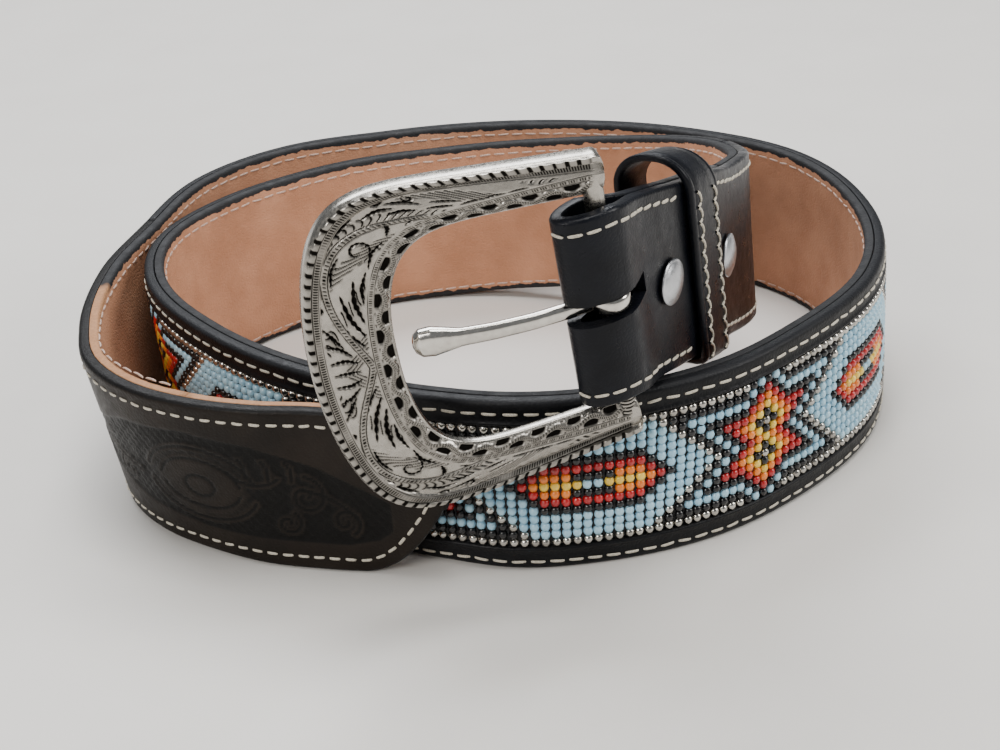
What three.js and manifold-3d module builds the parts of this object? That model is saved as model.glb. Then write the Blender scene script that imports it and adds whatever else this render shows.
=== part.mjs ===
// A western belt with a beaded strap, standing on its lower edge in a loose spiral.
// Millimetres, +Z up, the buckle end towards -Y. The origin lies under the middle of the whole box.

import * as THREE from 'three';
import { mergeVertices } from 'three/addons/utils/BufferGeometryUtils.js';
import Module from 'manifold-3d';

const wasm = await Module();
wasm.setup();

// Strap
const strapWidth = 38;
const billetWidth = 35;
const faceThickness = 2.3;
const liningThickness = 1.8;
const layerGap = 0.3;
const edgeBevel = 0.5;

// Spiral
const coilRadius = 85;
const turnGap = 0.6;
const crossingGap = 0.5;

// Lengths along the strap, from the axis of the buckle's bar
const tabLength = 104;
const flapLength = 58;
const windowStart = 114;
const faceLength = 757;
const liningLength = 849;
const billetLength = 900;
const taperStart = 777;
const taperEnd = 837;
const tipLength = 18;
const buttGap = 0.4;
const stationPitch = 7;

// Bead window
const windowWidth = 27.6;
const windowDepth = 1.4;
const windowMargin = 8;
const panelProud = 0.3;
const panelGap = 0.3;

// Buckle
const barRadius = 1.8;
const barClearance = 0.35;
const frameThickness = 3;
const frameDome = 2.2;
const frameLength = 53;
const frameBarHeight = 57.2;
const frameFlare = 6.3;
const openingLength = 37.8;
const openingHeight = 41.8;
const openingFlare = 2.4;
const frameSquareness = 8.5;
const frameRoundness = 1.8;
const openingSquareness = 7.3;
const openingRoundness = 2.4;
const armOverhang = 2;
const frameSwing = -36.5;

// Prong
const prongLength = 35;
const prongWidth = 3;
const prongThickness = 2.2;
const prongBulbWidth = 5.6;
const prongBulbThickness = 3.6;
const prongEyeWall = 1.5;
const prongSwing = -5;
const slotClearance = 0.6;
const slotReach = 7;

// Fold, keeper and caps
const foldRun = 10.5;
const foldReach = 8.6;
const foldTurn = -22;
const keeperPlace = 33;
const keeperWidth = 13.5;
const keeperThickness = 1.6;
const keeperFit = 0.4;
const keeperBay = 7;
const keeperCorner = 6.5;
const keeperRise = 3.2;
const capRadius = 4.3;
const capDome = 1.5;
const capRim = 0.5;
const capPlaces = [16.7, 48];
const capHeight = 19;
const seatGap = 0.3;

// Sizes worked out from the ones above
const strapThickness = faceThickness + layerGap + liningThickness;
const faceInner = strapThickness / 2 - faceThickness;
const faceOuter = strapThickness / 2;
const liningOuter = liningThickness - strapThickness / 2;
const liningInner = -strapThickness / 2;
const turnStandoff = strapThickness + turnGap;
const crossingHeight = strapWidth + crossingGap;
const flapInner = liningOuter - faceThickness;
const bendRadius = barRadius + barClearance + faceThickness / 2;
const windowEnd = faceLength - windowMargin;
const windowLow = (strapWidth - windowWidth) / 2;

// The spiral's course. turn: degrees round the coil, -90 at the front. reach: radius of the
// middle of the strap as a share of coilRadius, on top of a steady growth of one standoff a turn.
// rise: height of the lower edge as a share of crossingHeight. lean: degrees that the top tips
// outwards. rake: degrees that the top tips along the strap.
const course = [
  { turn: -77, reach: 1.0393, rise: 1.071, lean: -0.5, rake: -10.2 },
  { turn: -68, reach: 0.9269, rise: 0.993, lean: -1.6, rake: -9.9 },
  { turn: -60, reach: 0.8403, rise: 0.918, lean: -1.4, rake: -9.6 },
  { turn: -50, reach: 0.7639, rise: 0.839, lean: -1.6, rake: -9.5 },
  { turn: -38, reach: 0.7007, rise: 0.729, lean: -2.4, rake: -8.7 },
  { turn: -22, reach: 0.6621, rise: 0.629, lean: -3.8, rake: -7.3 },
  { turn: -5, reach: 0.6250, rise: 0.512, lean: -1.2, rake: -6.2 },
  { turn: 14, reach: 0.6034, rise: 0.4, lean: 0.2, rake: -4.2 },
  { turn: 34, reach: 0.5940, rise: 0.275, lean: 2.1, rake: -2.2 },
  { turn: 55, reach: 0.5974, rise: 0.155, lean: 4.6, rake: -0.8 },
  { turn: 77, reach: 0.6134, rise: 0.064, lean: 7, rake: 0 },
  { turn: 106, reach: 0.6575, rise: 0, lean: 6.9, rake: 0 },
  { turn: 136, reach: 0.7207, rise: 0, lean: 4.9, rake: 0 },
  { turn: 155, reach: 0.7831, rise: 0, lean: 4, rake: 0 },
  { turn: 172, reach: 0.8306, rise: 0, lean: 4, rake: 0 },
  { turn: 189, reach: 0.8266, rise: 0, lean: 4, rake: 0 },
  { turn: 215, reach: 0.7771, rise: 0, lean: 5, rake: 0 },
  { turn: 241, reach: 0.7777, rise: 0, lean: 6, rake: 0 },
  { turn: 260, reach: 0.8185, rise: 0, lean: 5.7, rake: 0 },
  { turn: 271, reach: 0.8541, rise: 0, lean: 4.6, rake: 0 },
  { turn: 283, reach: 0.8718, rise: 0, lean: 5.2, rake: 0 },
  { turn: 300, reach: 0.8848, rise: 0, lean: 3.4, rake: 0 },
  { turn: 318, reach: 0.8852, rise: 0, lean: 0, rake: 0 },
  { turn: 339, reach: 0.9170, rise: 0, lean: -1.5, rake: 0 },
  { turn: 366, reach: 0.9314, rise: 0, lean: -1.9, rake: 0 },
  { turn: 390, reach: 0.9395, rise: 0, lean: -1, rake: 0 },
  { turn: 412, reach: 0.8801, rise: 0, lean: 0, rake: 0 },
  { turn: 440, reach: 0.8241, rise: 0, lean: 0, rake: 0 },
  { turn: 469, reach: 0.8288, rise: 0, lean: 0, rake: 0 },
  { turn: 488, reach: 0.8904, rise: 0, lean: 0.1, rake: 0 },
  { turn: 506, reach: 0.8967, rise: 0, lean: 1, rake: 0 },
  { turn: 528, reach: 0.8502, rise: 0, lean: 2, rake: 0 },
  { turn: 546, reach: 0.8794, rise: 0, lean: 6, rake: 0 },
  { turn: 562, reach: 0.9382, rise: 0, lean: 8.7, rake: 0 },
  { turn: 570, reach: 0.9675, rise: 0, lean: 9.3, rake: 0 },
  { turn: 579, reach: 0.9596, rise: 0, lean: 8, rake: 0 },
  { turn: 588, reach: 0.9256, rise: 0, lean: 6.1, rake: 0 },
  { turn: 596, reach: 0.8884, rise: 0, lean: 2.9, rake: 0 },
  { turn: 604, reach: 0.8440, rise: 0, lean: 0.6, rake: 0 },
  { turn: 614, reach: 0.8244, rise: 0, lean: 2.8, rake: 0 },
  { turn: 632, reach: 0.8634, rise: 0, lean: 4, rake: 0 },
  { turn: 645, reach: 0.8876, rise: 0, lean: 4, rake: 0 },
];

const radians = THREE.MathUtils.degToRad;
const smooth = (t) => THREE.MathUtils.smoothstep(t, 0, 1);
const upward = new THREE.Vector3(0, 0, 1);

// One column of the course at any turn, by cubic pieces whose slopes come from the neighbours
function courseValue(column, turn) {
  const last = course.length - 2;
  let i = course.findIndex((row) => row.turn > turn) - 1;
  i = i < 0 ? (turn < course[0].turn ? 0 : last) : Math.min(i, last);
  const slope = (k) => {
    const a = course[Math.max(k - 1, 0)];
    const b = course[Math.min(k + 1, course.length - 1)];
    return (b[column] - a[column]) / (b.turn - a.turn);
  };
  const [a, b] = [course[i], course[i + 1]];
  const span = b.turn - a.turn;
  const t = (turn - a.turn) / span;
  const [m0, m1] = [slope(i) * span, slope(i + 1) * span];
  const t2 = t * t;
  const t3 = t2 * t;
  return (2 * t3 - 3 * t2 + 1) * a[column] + (t3 - 2 * t2 + t) * m0
    + (3 * t2 - 2 * t3) * b[column] + (t3 - t2) * m1;
}

// Middle of the strap's width and thickness, in plan
function planPoint(turn) {
  const radius = coilRadius * courseValue('reach', turn) + turnStandoff * turn / 360;
  return new THREE.Vector3(radius * Math.cos(radians(turn)), radius * Math.sin(radians(turn)), 0);
}

// Axes of the strap at a turn: foot is the lower edge's middle, up runs across the width,
// out through the thickness to the face side, along to the tip
function frameAtTurn(turn) {
  const step = 0.5;
  const [before, after] = [planPoint(turn - step), planPoint(turn + step)];
  const lift = (t) => crossingHeight * Math.max(courseValue('rise', t), 0);
  const along = after.clone().sub(before).normalize();
  const side = new THREE.Vector3(along.y, -along.x, 0);
  const climb = (lift(turn + step) - lift(turn - step)) / after.distanceTo(before);
  const lean = radians(courseValue('lean', turn));
  const rake = radians(courseValue('rake', turn));
  const up = upward.clone().multiplyScalar(Math.cos(lean) * Math.cos(rake));
  up.addScaledVector(side, Math.sin(lean)).addScaledVector(along, Math.sin(rake)).normalize();
  const course3 = along.clone().addScaledVector(upward, climb).normalize();
  const out = course3.clone().cross(up).normalize();
  const foot = planPoint(turn).addScaledVector(up, -strapWidth / 2);
  foot.z = lift(turn) + Math.abs(out.z) * strapThickness / 2;
  return { foot, up, out, along: course3 };
}

// Lengths along the strap against turns
const turnStep = 0.5;
const ruler = [{ turn: course[0].turn, length: 0 }];
for (let turn = course[0].turn + turnStep; turn <= course.at(-1).turn; turn += turnStep) {
  const [a, b] = [frameAtTurn(turn - turnStep), frameAtTurn(turn)];
  const middle = (f) => f.foot.clone().addScaledVector(f.up, strapWidth / 2);
  ruler.push({ turn, length: ruler.at(-1).length + middle(a).distanceTo(middle(b)) });
}

function turnAt(length) {
  let i = ruler.findIndex((mark) => mark.length > length);
  i = i < 0 ? ruler.length - 1 : Math.max(i, 1);
  const [a, b] = [ruler[i - 1], ruler[i]];
  return a.turn + (length - a.length) / (b.length - a.length) * (b.turn - a.turn);
}

const frameAt = (length) => frameAtTurn(turnAt(length));

function strapPoint(length, height, offset) {
  const f = frameAt(length);
  return f.foot.clone().addScaledVector(f.up, height).addScaledVector(f.out, offset);
}

// Stations from one length to another, on a shared grid so that stacked layers stay parallel
function stations(from, to, extra = []) {
  const list = [from, to, ...extra.filter((s) => s > from && s < to)];
  for (let k = Math.ceil((from + 1) / stationPitch); k * stationPitch < to - 1; k += 1) {
    list.push(k * stationPitch);
  }
  return list.sort((a, b) => a - b).filter((value, i, all) => i === 0 || value - all[i - 1] > 0.2);
}

// A closed solid through sections of equal point count. Each face is split along its shorter
// diagonal, and where both are alike the last one is split the other way than the rest, so that
// the broad faces of stacked layers stay parallel where the strap twists.
function loft(sections, closed = false) {
  const evenDiagonals = 0.3;
  const count = sections[0].length;
  const points = sections.flat();
  const positions = points.flatMap((p) => [p.x, p.y, p.z]);
  const index = [];
  const rows = closed ? sections.length : sections.length - 1;
  for (let i = 0; i < rows; i += 1) {
    const [a, b] = [i * count, ((i + 1) % sections.length) * count];
    for (let j = 0; j < count; j += 1) {
      const k = (j + 1) % count;
      const longer = points[a + j].distanceTo(points[b + k]) - points[a + k].distanceTo(points[b + j]);
      if (Math.abs(longer) > evenDiagonals ? longer > 0 : k === 0) {
        index.push(a + j, a + k, b + j, a + k, b + k, b + j);
      } else {
        index.push(a + j, a + k, b + k, a + j, b + k, b + j);
      }
    }
  }
  if (!closed) {
    const end = (sections.length - 1) * count;
    for (let j = 1; j < count - 1; j += 1) {
      index.push(0, j + 1, j, end, end + j, end + j + 1);
    }
  }
  const geometry = new THREE.BufferGeometry();
  geometry.setAttribute('position', new THREE.Float32BufferAttribute(positions, 3));
  geometry.setIndex(index);
  return facingOut(geometry);
}

// Turns every triangle over when the solid was wound inside out
function facingOut(geometry) {
  const p = geometry.getAttribute('position');
  const index = geometry.getIndex();
  const [a, b, c] = [new THREE.Vector3(), new THREE.Vector3(), new THREE.Vector3()];
  let volume = 0;
  for (let i = 0; i < index.count; i += 3) {
    a.fromBufferAttribute(p, index.getX(i));
    b.fromBufferAttribute(p, index.getX(i + 1));
    c.fromBufferAttribute(p, index.getX(i + 2));
    volume += a.dot(b.cross(c));
  }
  if (volume < 0) {
    for (let i = 0; i < index.count; i += 3) {
      const second = index.getX(i + 1);
      index.setX(i + 1, index.getX(i + 2));
      index.setX(i + 2, second);
    }
  }
  geometry.computeVertexNormals();
  return geometry;
}

// Rectangle with bevelled corners between two heights and two offsets, in a strap frame
function slabSection(f, low, high, inner, outer, bevel = edgeBevel) {
  const b = Math.min(bevel, (outer - inner) / 3, (high - low) / 3);
  const corners = [
    [low + b, inner], [low, inner + b], [low, outer - b], [low + b, outer],
    [high - b, outer], [high, outer - b], [high, inner + b], [high - b, inner],
  ];
  return corners.map(([height, offset]) => (
    f.foot.clone().addScaledVector(f.up, height).addScaledVector(f.out, offset)));
}

function slab(lengths, low, high, inner, outer, bevel) {
  return loft(lengths.map((s) => slabSection(frameAt(s), low, high, inner, outer, bevel)));
}

// Joins and cuts of closed solids
function toSolid(geometry) {
  const plain = geometry.clone();
  plain.deleteAttribute('normal');
  plain.deleteAttribute('uv');
  const merged = mergeVertices(plain, 1e-4);
  return new wasm.Manifold(new wasm.Mesh({
    numProp: 3,
    vertProperties: new Float32Array(merged.getAttribute('position').array),
    triVerts: new Uint32Array(merged.getIndex().array),
  }));
}

function toGeometry(solid) {
  const mesh = solid.getMesh();
  const geometry = new THREE.BufferGeometry();
  geometry.setAttribute('position', new THREE.BufferAttribute(mesh.vertProperties, mesh.numProp));
  geometry.setIndex(new THREE.BufferAttribute(mesh.triVerts, 1));
  geometry.computeVertexNormals();
  return geometry;
}

const group = new THREE.Group();

function addPiece(name, geometry, color, roughness, metalness) {
  const material = new THREE.MeshStandardMaterial({ color, roughness, metalness });
  const mesh = new THREE.Mesh(geometry, material);
  mesh.name = name;
  group.add(mesh);
  return mesh;
}

// Axes of the bar: the strap's frame at length zero, moved to the bar's middle
const barFrame = frameAt(0);
const barMiddle = barFrame.foot.clone().addScaledVector(barFrame.up, strapWidth / 2);

// Axes turned about the bar by some degrees from the strap's own line, away from the tab
function turnedAxes(degrees) {
  const reachOut = barFrame.along.clone().negate();
  reachOut.addScaledVector(barFrame.up, -reachOut.dot(barFrame.up)).normalize();
  reachOut.applyAxisAngle(barFrame.up, radians(degrees));
  const front = barFrame.up.clone().cross(reachOut).normalize();
  return { reachOut, front, up: barFrame.up };
}

function placed(axes, x, y, z) {
  return barMiddle.clone().addScaledVector(axes.reachOut, x).addScaledVector(axes.up, y)
    .addScaledVector(axes.front, z);
}

// Box across the fold that the prong passes through and turns in
function slotCutter() {
  const half = prongWidth / 2 + slotClearance;
  const behind = foldReach + 1;
  const box = new THREE.BoxGeometry(slotReach + behind, 2 * half, 4 * behind);
  box.translate((slotReach - behind) / 2, 0, 0);
  const basis = new THREE.Matrix4();
  const flatAlong = barFrame.along.clone();
  flatAlong.addScaledVector(barFrame.up, -flatAlong.dot(barFrame.up)).normalize();
  basis.makeBasis(flatAlong, barFrame.up, flatAlong.clone().cross(barFrame.up));
  basis.setPosition(barMiddle);
  return box.applyMatrix4(basis);
}

// Tab: outer layer, a bend round the bar that the buckle pulls to its own side, and the flap that
// comes back inside
function buckleTab() {
  const restOffset = (faceInner + faceOuter) / 2;
  const flapOffset = (flapInner + liningOuter) / 2;
  const half = faceThickness / 2;
  const section = (f) => slabSection(f, 0, strapWidth, -half, half);
  const shifted = (s, rest, bend) => {
    const f = frameAt(s);
    const offset = rest + (bend - rest) * (1 - smooth(s / foldRun));
    return { ...f, foot: f.foot.clone().addScaledVector(f.out, offset) };
  };
  const run = [0.25, 0.5, 0.75, 1].map((share) => share * foldRun);
  const outerRun = stations(foldRun + 2, tabLength).reverse().concat([...run].reverse());
  const sections = outerRun.map((s) => section(shifted(s, restOffset, bendRadius)));
  const fold = turnedAxes(foldTurn);
  const bendSteps = 10;
  for (let i = 0; i <= bendSteps; i += 1) {
    const [across, beyond] = [Math.cos(Math.PI * i / bendSteps), Math.sin(Math.PI * i / bendSteps)];
    const bendReach = foldReach - half;
    const out = fold.front.clone().multiplyScalar(across / bendRadius);
    out.addScaledVector(fold.reachOut, beyond / bendReach).normalize();
    const foot = barFrame.foot.clone().addScaledVector(fold.front, bendRadius * across);
    foot.addScaledVector(fold.reachOut, bendReach * beyond);
    sections.push(section({ foot, up: barFrame.up, out }));
  }
  const innerRun = run.concat(stations(foldRun + 2, flapLength));
  for (const s of innerRun) {
    const f = shifted(s, flapOffset, -bendRadius);
    sections.push(section({ ...f, out: f.out.clone().negate() }));
  }
  sections.reverse();
  return toGeometry(toSolid(loft(sections)).subtract(toSolid(slotCutter())));
}

// Face of the long strap with its sunk bead window
function strapFace() {
  const body = slab(stations(tabLength + buttGap, faceLength, [windowStart, windowEnd]),
    0, strapWidth, faceInner, faceOuter);
  const sink = slab(stations(windowStart, windowEnd), windowLow, strapWidth - windowLow,
    faceOuter - windowDepth, faceOuter + 1, 0.05);
  return toGeometry(toSolid(body).subtract(toSolid(sink)));
}

function beadPanel() {
  return slab(stations(windowStart + panelGap, windowEnd - panelGap), windowLow + panelGap,
    strapWidth - windowLow - panelGap, faceOuter - windowDepth + panelGap, faceOuter + panelProud);
}

function strapLining() {
  const lengths = stations(flapLength + 2 * buttGap, liningLength, [taperStart, taperEnd]);
  return loft(lengths.map((s) => (
    slabSection(frameAt(s), 0, endWidth(s), liningInner, liningOuter))));
}

// Width of the strap near its tip
function endWidth(s) {
  const taper = smooth((s - taperStart) / (taperEnd - taperStart));
  return strapWidth + (billetWidth - strapWidth) * taper;
}

// Sections of the end piece: the taper, then a tip that narrows like a parabola
function billetLayer(from, inner, outer) {
  const blunt = 0.97;
  const tipFrom = billetLength - tipLength;
  const tipShares = [0.15, 0.3, 0.45, 0.6, 0.72, 0.83, 0.92, blunt];
  const lengths = stations(from, tipFrom, [taperStart, taperEnd]);
  const sections = lengths.map((s) => slabSection(frameAt(s), 0, endWidth(s), inner, outer));
  for (const share of tipShares) {
    const cut = billetWidth / 2 * share * share;
    const f = frameAt(tipFrom + tipLength * share);
    sections.push(slabSection(f, cut, billetWidth - cut, inner, outer));
  }
  return loft(sections);
}

// Keeper: a closed band round the tab that rises in an arch over its upper edge, with room behind
// it for the strap's end
function keeperLoop() {
  const front = faceOuter + keeperFit + keeperThickness / 2;
  const back = flapInner - keeperBay - keeperThickness / 2;
  const halfHeight = strapWidth / 2 + keeperFit + keeperThickness / 2;
  const outline = [];
  const arcSteps = 5;
  const corners = [
    { x: front, y: halfHeight + keeperRise, radius: keeperCorner, start: 0 },
    { x: back, y: halfHeight + keeperRise, radius: keeperCorner, start: 90 },
    { x: back, y: -halfHeight, radius: keeperCorner, start: 180 },
    { x: front, y: -halfHeight, radius: keeperThickness, start: 270 },
  ];
  for (const { x, y: height, radius, start } of corners) {
    const centreX = x - Math.sign(x) * radius;
    const centreY = height - Math.sign(height) * radius;
    for (let i = 0; i <= arcSteps; i += 1) {
      const a = radians(start + 90 * i / arcSteps);
      const [nx, ny] = [Math.cos(a), Math.sin(a)];
      outline.push({ x: centreX + radius * nx, y: centreY + radius * ny, nx, ny });
    }
  }
  const edges = [keeperPlace - keeperWidth / 2, keeperPlace + keeperWidth / 2].map(frameAt);
  const half = keeperThickness / 2;
  const sections = outline.map(({ x, y, nx, ny }) => (
    [[0, -half], [1, -half], [1, half], [0, half]].map(([edge, depth]) => {
      const f = edges[edge];
      return f.foot.clone().addScaledVector(f.out, x + nx * depth)
        .addScaledVector(f.up, strapWidth / 2 + y + ny * depth);
    })));
  return loft(sections, true);
}

function snapCap(place) {
  const profile = [new THREE.Vector2(0, 0), new THREE.Vector2(capRadius, 0)];
  profile.push(new THREE.Vector2(capRadius, capRim));
  for (const share of [0.85, 0.6, 0.3]) {
    const height = capRim + (capDome - capRim) * Math.sqrt(1 - share * share);
    profile.push(new THREE.Vector2(capRadius * share, height));
  }
  profile.push(new THREE.Vector2(0, capDome));
  const cap = new THREE.LatheGeometry(profile, 20);
  const f = frameAt(place);
  const offset = faceOuter + foldLift(place) + seatGap;
  cap.applyQuaternion(new THREE.Quaternion().setFromUnitVectors(new THREE.Vector3(0, 1, 0), f.out));
  const seat = strapPoint(place, capHeight, offset);
  return cap.translate(seat.x, seat.y, seat.z);
}

// How far the tab's outer layer still stands off its resting line near the fold
function foldLift(s) {
  return (bendRadius - (faceInner + faceOuter) / 2) * (1 - smooth(s / foldRun));
}

// Outline of the frame or of its opening, from the middle of the far end to the bar
function hoofOutline(length, barHeight, flare, squareness, roundness) {
  const points = [];
  const steps = 120;
  for (let i = 0; i <= steps; i += 1) {
    const u = 1 - (i / steps) ** 2;
    const height = (barHeight / 2 + flare * u) * (1 - u ** squareness) ** (1 / roundness);
    points.push(new THREE.Vector2(length * u, height));
  }
  return points;
}

// The point a share of the way along a line of points
function pointAlong(points, share) {
  const lengths = [0];
  points.slice(1).forEach((p, i) => lengths.push(lengths[i] + p.distanceTo(points[i])));
  const target = share * lengths.at(-1);
  let i = lengths.findIndex((value) => value >= target);
  i = Math.max(i, 1);
  const t = (target - lengths[i - 1]) / (lengths[i] - lengths[i - 1]);
  return points[i - 1].clone().lerp(points[i], t);
}

// Frame section. across: share of the way from the opening to the rim. height: share of the dome,
// below zero for the flat back.
const frameSection = [
  { across: 0, height: -1 }, { across: 0, height: 0.1 }, { across: 0.07, height: 0.5 },
  { across: 0.24, height: 0.72 }, { across: 0.5, height: 0.85 }, { across: 0.78, height: 0.62 },
  { across: 0.84, height: 1 }, { across: 0.96, height: 1 }, { across: 1, height: 0.6 },
  { across: 1, height: -1 },
];

// Rounded ends of the arms beyond the bar. width: share of the arm's width. reach: share of
// armOverhang.
const armEnds = [
  { width: 0.97, reach: 0.34 },
  { width: 0.72, reach: 0.75 },
  { width: 0.3, reach: 1 },
];

function buckleFrame() {
  const axes = turnedAxes(frameSwing);
  const outer = hoofOutline(frameLength, frameBarHeight, frameFlare, frameSquareness, frameRoundness);
  const inner = hoofOutline(openingLength, openingHeight, openingFlare,
    openingSquareness, openingRoundness);
  const stops = [];
  const stopCount = 24;
  for (let i = 0; i < stopCount; i += 1) {
    const share = 1 - i / stopCount;
    stops.push([pointAlong(inner, share), pointAlong(outer, share)]);
  }
  const endOuter = outer.at(-1);
  const endInner = inner.at(-1);
  const centre = endOuter.clone().add(endInner).multiplyScalar(0.5);
  const ends = armEnds.map(({ width, reach }) => [
    new THREE.Vector2(-armOverhang * reach, centre.y + (endInner.y - centre.y) * width),
    new THREE.Vector2(-armOverhang * reach, centre.y + (endOuter.y - centre.y) * width),
  ]);
  const upper = [...ends.reverse(), ...stops];
  const mirrored = upper.map((pair) => pair.map((p) => new THREE.Vector2(p.x, -p.y))).reverse();
  const middle = [new THREE.Vector2(openingLength, 0), new THREE.Vector2(frameLength, 0)];
  const sections = [...upper, middle, ...mirrored].map(([a, b]) => (
    frameSection.map(({ across, height }) => {
      const p = a.clone().lerp(b, across);
      const z = height < 0 ? height * frameThickness / 2 : height * frameDome;
      return placed(axes, p.x, p.y, z);
    })));
  const hoof = toSolid(loft(sections));
  const reach = (frameBarHeight + openingHeight) / 4;
  return toGeometry(hoof.add(toSolid(barRod(-reach, reach))));
}

// Round bar between two heights
function barRod(low, high) {
  const rod = new THREE.CylinderGeometry(barRadius, barRadius, high - low, 16);
  rod.applyQuaternion(new THREE.Quaternion().setFromUnitVectors(
    new THREE.Vector3(0, 1, 0), barFrame.up));
  const middle = barMiddle.clone().addScaledVector(barFrame.up, (high + low) / 2);
  return rod.translate(middle.x, middle.y, middle.z);
}

// Prong sections. reach: share of prongLength. width and depth: shares of the bulb's size over
// the shank's. bow: how far the shank stands to the front, as a share of prongThickness.
const prongRows = [
  { reach: 0.085, width: 0, depth: 0.1, bow: 0.05 },
  { reach: 0.2, width: 0, depth: 0.1, bow: 0.5 },
  { reach: 0.4, width: 0, depth: 0.05, bow: 0.95 },
  { reach: 0.6, width: 0.05, depth: 0, bow: 1.05 },
  { reach: 0.76, width: 0.15, depth: 0.1, bow: 0.85 },
  { reach: 0.83, width: 0.6, depth: 0.5, bow: 0.7 },
  { reach: 0.9, width: 1, depth: 0.95, bow: 0.55 },
  { reach: 0.96, width: 0.85, depth: 0.85, bow: 0.45 },
  { reach: 0.99, width: 0.15, depth: 0.1, bow: 0.4 },
  { reach: 1, width: -0.7, depth: -0.7, bow: 0.38 },
];

function buckleProng() {
  const axes = turnedAxes(frameSwing + prongSwing);
  const sides = 10;
  const sections = prongRows.map((row) => {
    const halfWidth = (prongWidth + (prongBulbWidth - prongWidth) * row.width) / 2;
    const halfDepth = (prongThickness + (prongBulbThickness - prongThickness) * row.depth) / 2;
    const ring = [];
    for (let i = 0; i < sides; i += 1) {
      const a = 2 * Math.PI * i / sides;
      ring.push(placed(axes, prongLength * row.reach, halfWidth * Math.cos(a),
        halfDepth * Math.sin(a) + row.bow * prongThickness));
    }
    return ring;
  });
  return toGeometry(toSolid(loft(sections)).add(toSolid(prongEye())).subtract(
    toSolid(eyeHole())));
}

function eyeRing(radius, width) {
  const ring = new THREE.CylinderGeometry(radius, radius, width, 20);
  ring.applyQuaternion(new THREE.Quaternion().setFromUnitVectors(
    new THREE.Vector3(0, 1, 0), barFrame.up));
  return ring.translate(barMiddle.x, barMiddle.y, barMiddle.z);
}

const prongEye = () => eyeRing(barRadius + barClearance + prongEyeWall, prongWidth);
const eyeHole = () => eyeRing(barRadius + barClearance, prongWidth * 3);

addPiece('buckle_frame', buckleFrame(), 0x8e8b84, 0.35, 1);
addPiece('buckle_prong', buckleProng(), 0xb9b2a6, 0.15, 1);
addPiece('buckle_tab', buckleTab(), 0x14151a, 0.45, 0);
addPiece('keeper_loop', keeperLoop(), 0x17171a, 0.45, 0);
capPlaces.forEach((place, i) => addPiece(`snap_cap_${i + 1}`, snapCap(place), 0x9a9a9c, 0.35, 1));
addPiece('strap_face', strapFace(), 0x1a1b1e, 0.5, 0);
addPiece('bead_panel', beadPanel(), 0x7fb6cf, 0.3, 0);
addPiece('strap_lining', strapLining(), 0xb07a55, 0.6, 0);
addPiece('billet_face', billetLayer(faceLength + buttGap, faceInner, faceOuter), 0x231a15, 0.5, 0);
addPiece('billet_lining', billetLayer(liningLength + buttGap, liningInner, liningOuter),
  0x33373a, 0.6, 0);

// The origin goes under the middle of the whole box, on the surface that the belt stands on
const box = new THREE.Box3().setFromObject(group);
group.position.set(-(box.min.x + box.max.x) / 2, -(box.min.y + box.max.y) / 2, -box.min.z);

export default group;
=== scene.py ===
import math

import bpy
import numpy as np
from mathutils import Matrix, Vector


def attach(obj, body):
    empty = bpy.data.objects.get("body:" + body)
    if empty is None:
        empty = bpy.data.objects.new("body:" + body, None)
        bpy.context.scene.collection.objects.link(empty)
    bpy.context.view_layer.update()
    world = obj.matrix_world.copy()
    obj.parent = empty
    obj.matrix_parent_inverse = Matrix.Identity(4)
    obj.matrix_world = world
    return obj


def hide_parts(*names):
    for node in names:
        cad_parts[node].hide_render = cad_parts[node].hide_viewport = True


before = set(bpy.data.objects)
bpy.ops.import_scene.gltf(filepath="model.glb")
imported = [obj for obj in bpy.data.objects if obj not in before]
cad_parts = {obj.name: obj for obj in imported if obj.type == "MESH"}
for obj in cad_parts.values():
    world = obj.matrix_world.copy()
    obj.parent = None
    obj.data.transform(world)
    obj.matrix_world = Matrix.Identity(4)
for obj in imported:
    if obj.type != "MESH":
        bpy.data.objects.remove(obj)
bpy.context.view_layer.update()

MM = 0.001
BODY = "belt"

# Sizes of the belt in millimetres, the same as in the CAD
STRAP_WIDTH = 38.0
BILLET_WIDTH = 35.0
FACE = 2.3
LINING = 1.8
LAYER_GAP = 0.3
THICK = FACE + LAYER_GAP + LINING
COIL_RADIUS = 85.0
TURN_GAP = 0.6
CROSSING = STRAP_WIDTH + 0.5
# Centres the belt's box over the origin
GROUP_SHIFT = np.array([-0.098, 10.356, 0.0])
FACE_OUTER = THICK / 2
FACE_INNER = THICK / 2 - FACE
LINING_OUTER = LINING - THICK / 2
LINING_INNER = -THICK / 2
FLAP_INNER = LINING_OUTER - FACE
BAR_RADIUS = 1.8
BAR_CLEARANCE = 0.35
BEND = BAR_RADIUS + BAR_CLEARANCE + FACE / 2
TAB_END = 104.0
FLAP_END = 58.0
FACE_END = 757.0
LINING_END = 849.0
BILLET_END = 900.0
TIP = 18.0
TAPER = (777.0, 837.0)
BUTT = 0.4
FOLD_RUN = 10.5
FOLD_REACH = 8.6
FOLD_TURN = -22.0
WINDOW = (114.0, 749.0)
WINDOW_WIDTH = 27.6
WINDOW_DEPTH = 1.4

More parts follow.
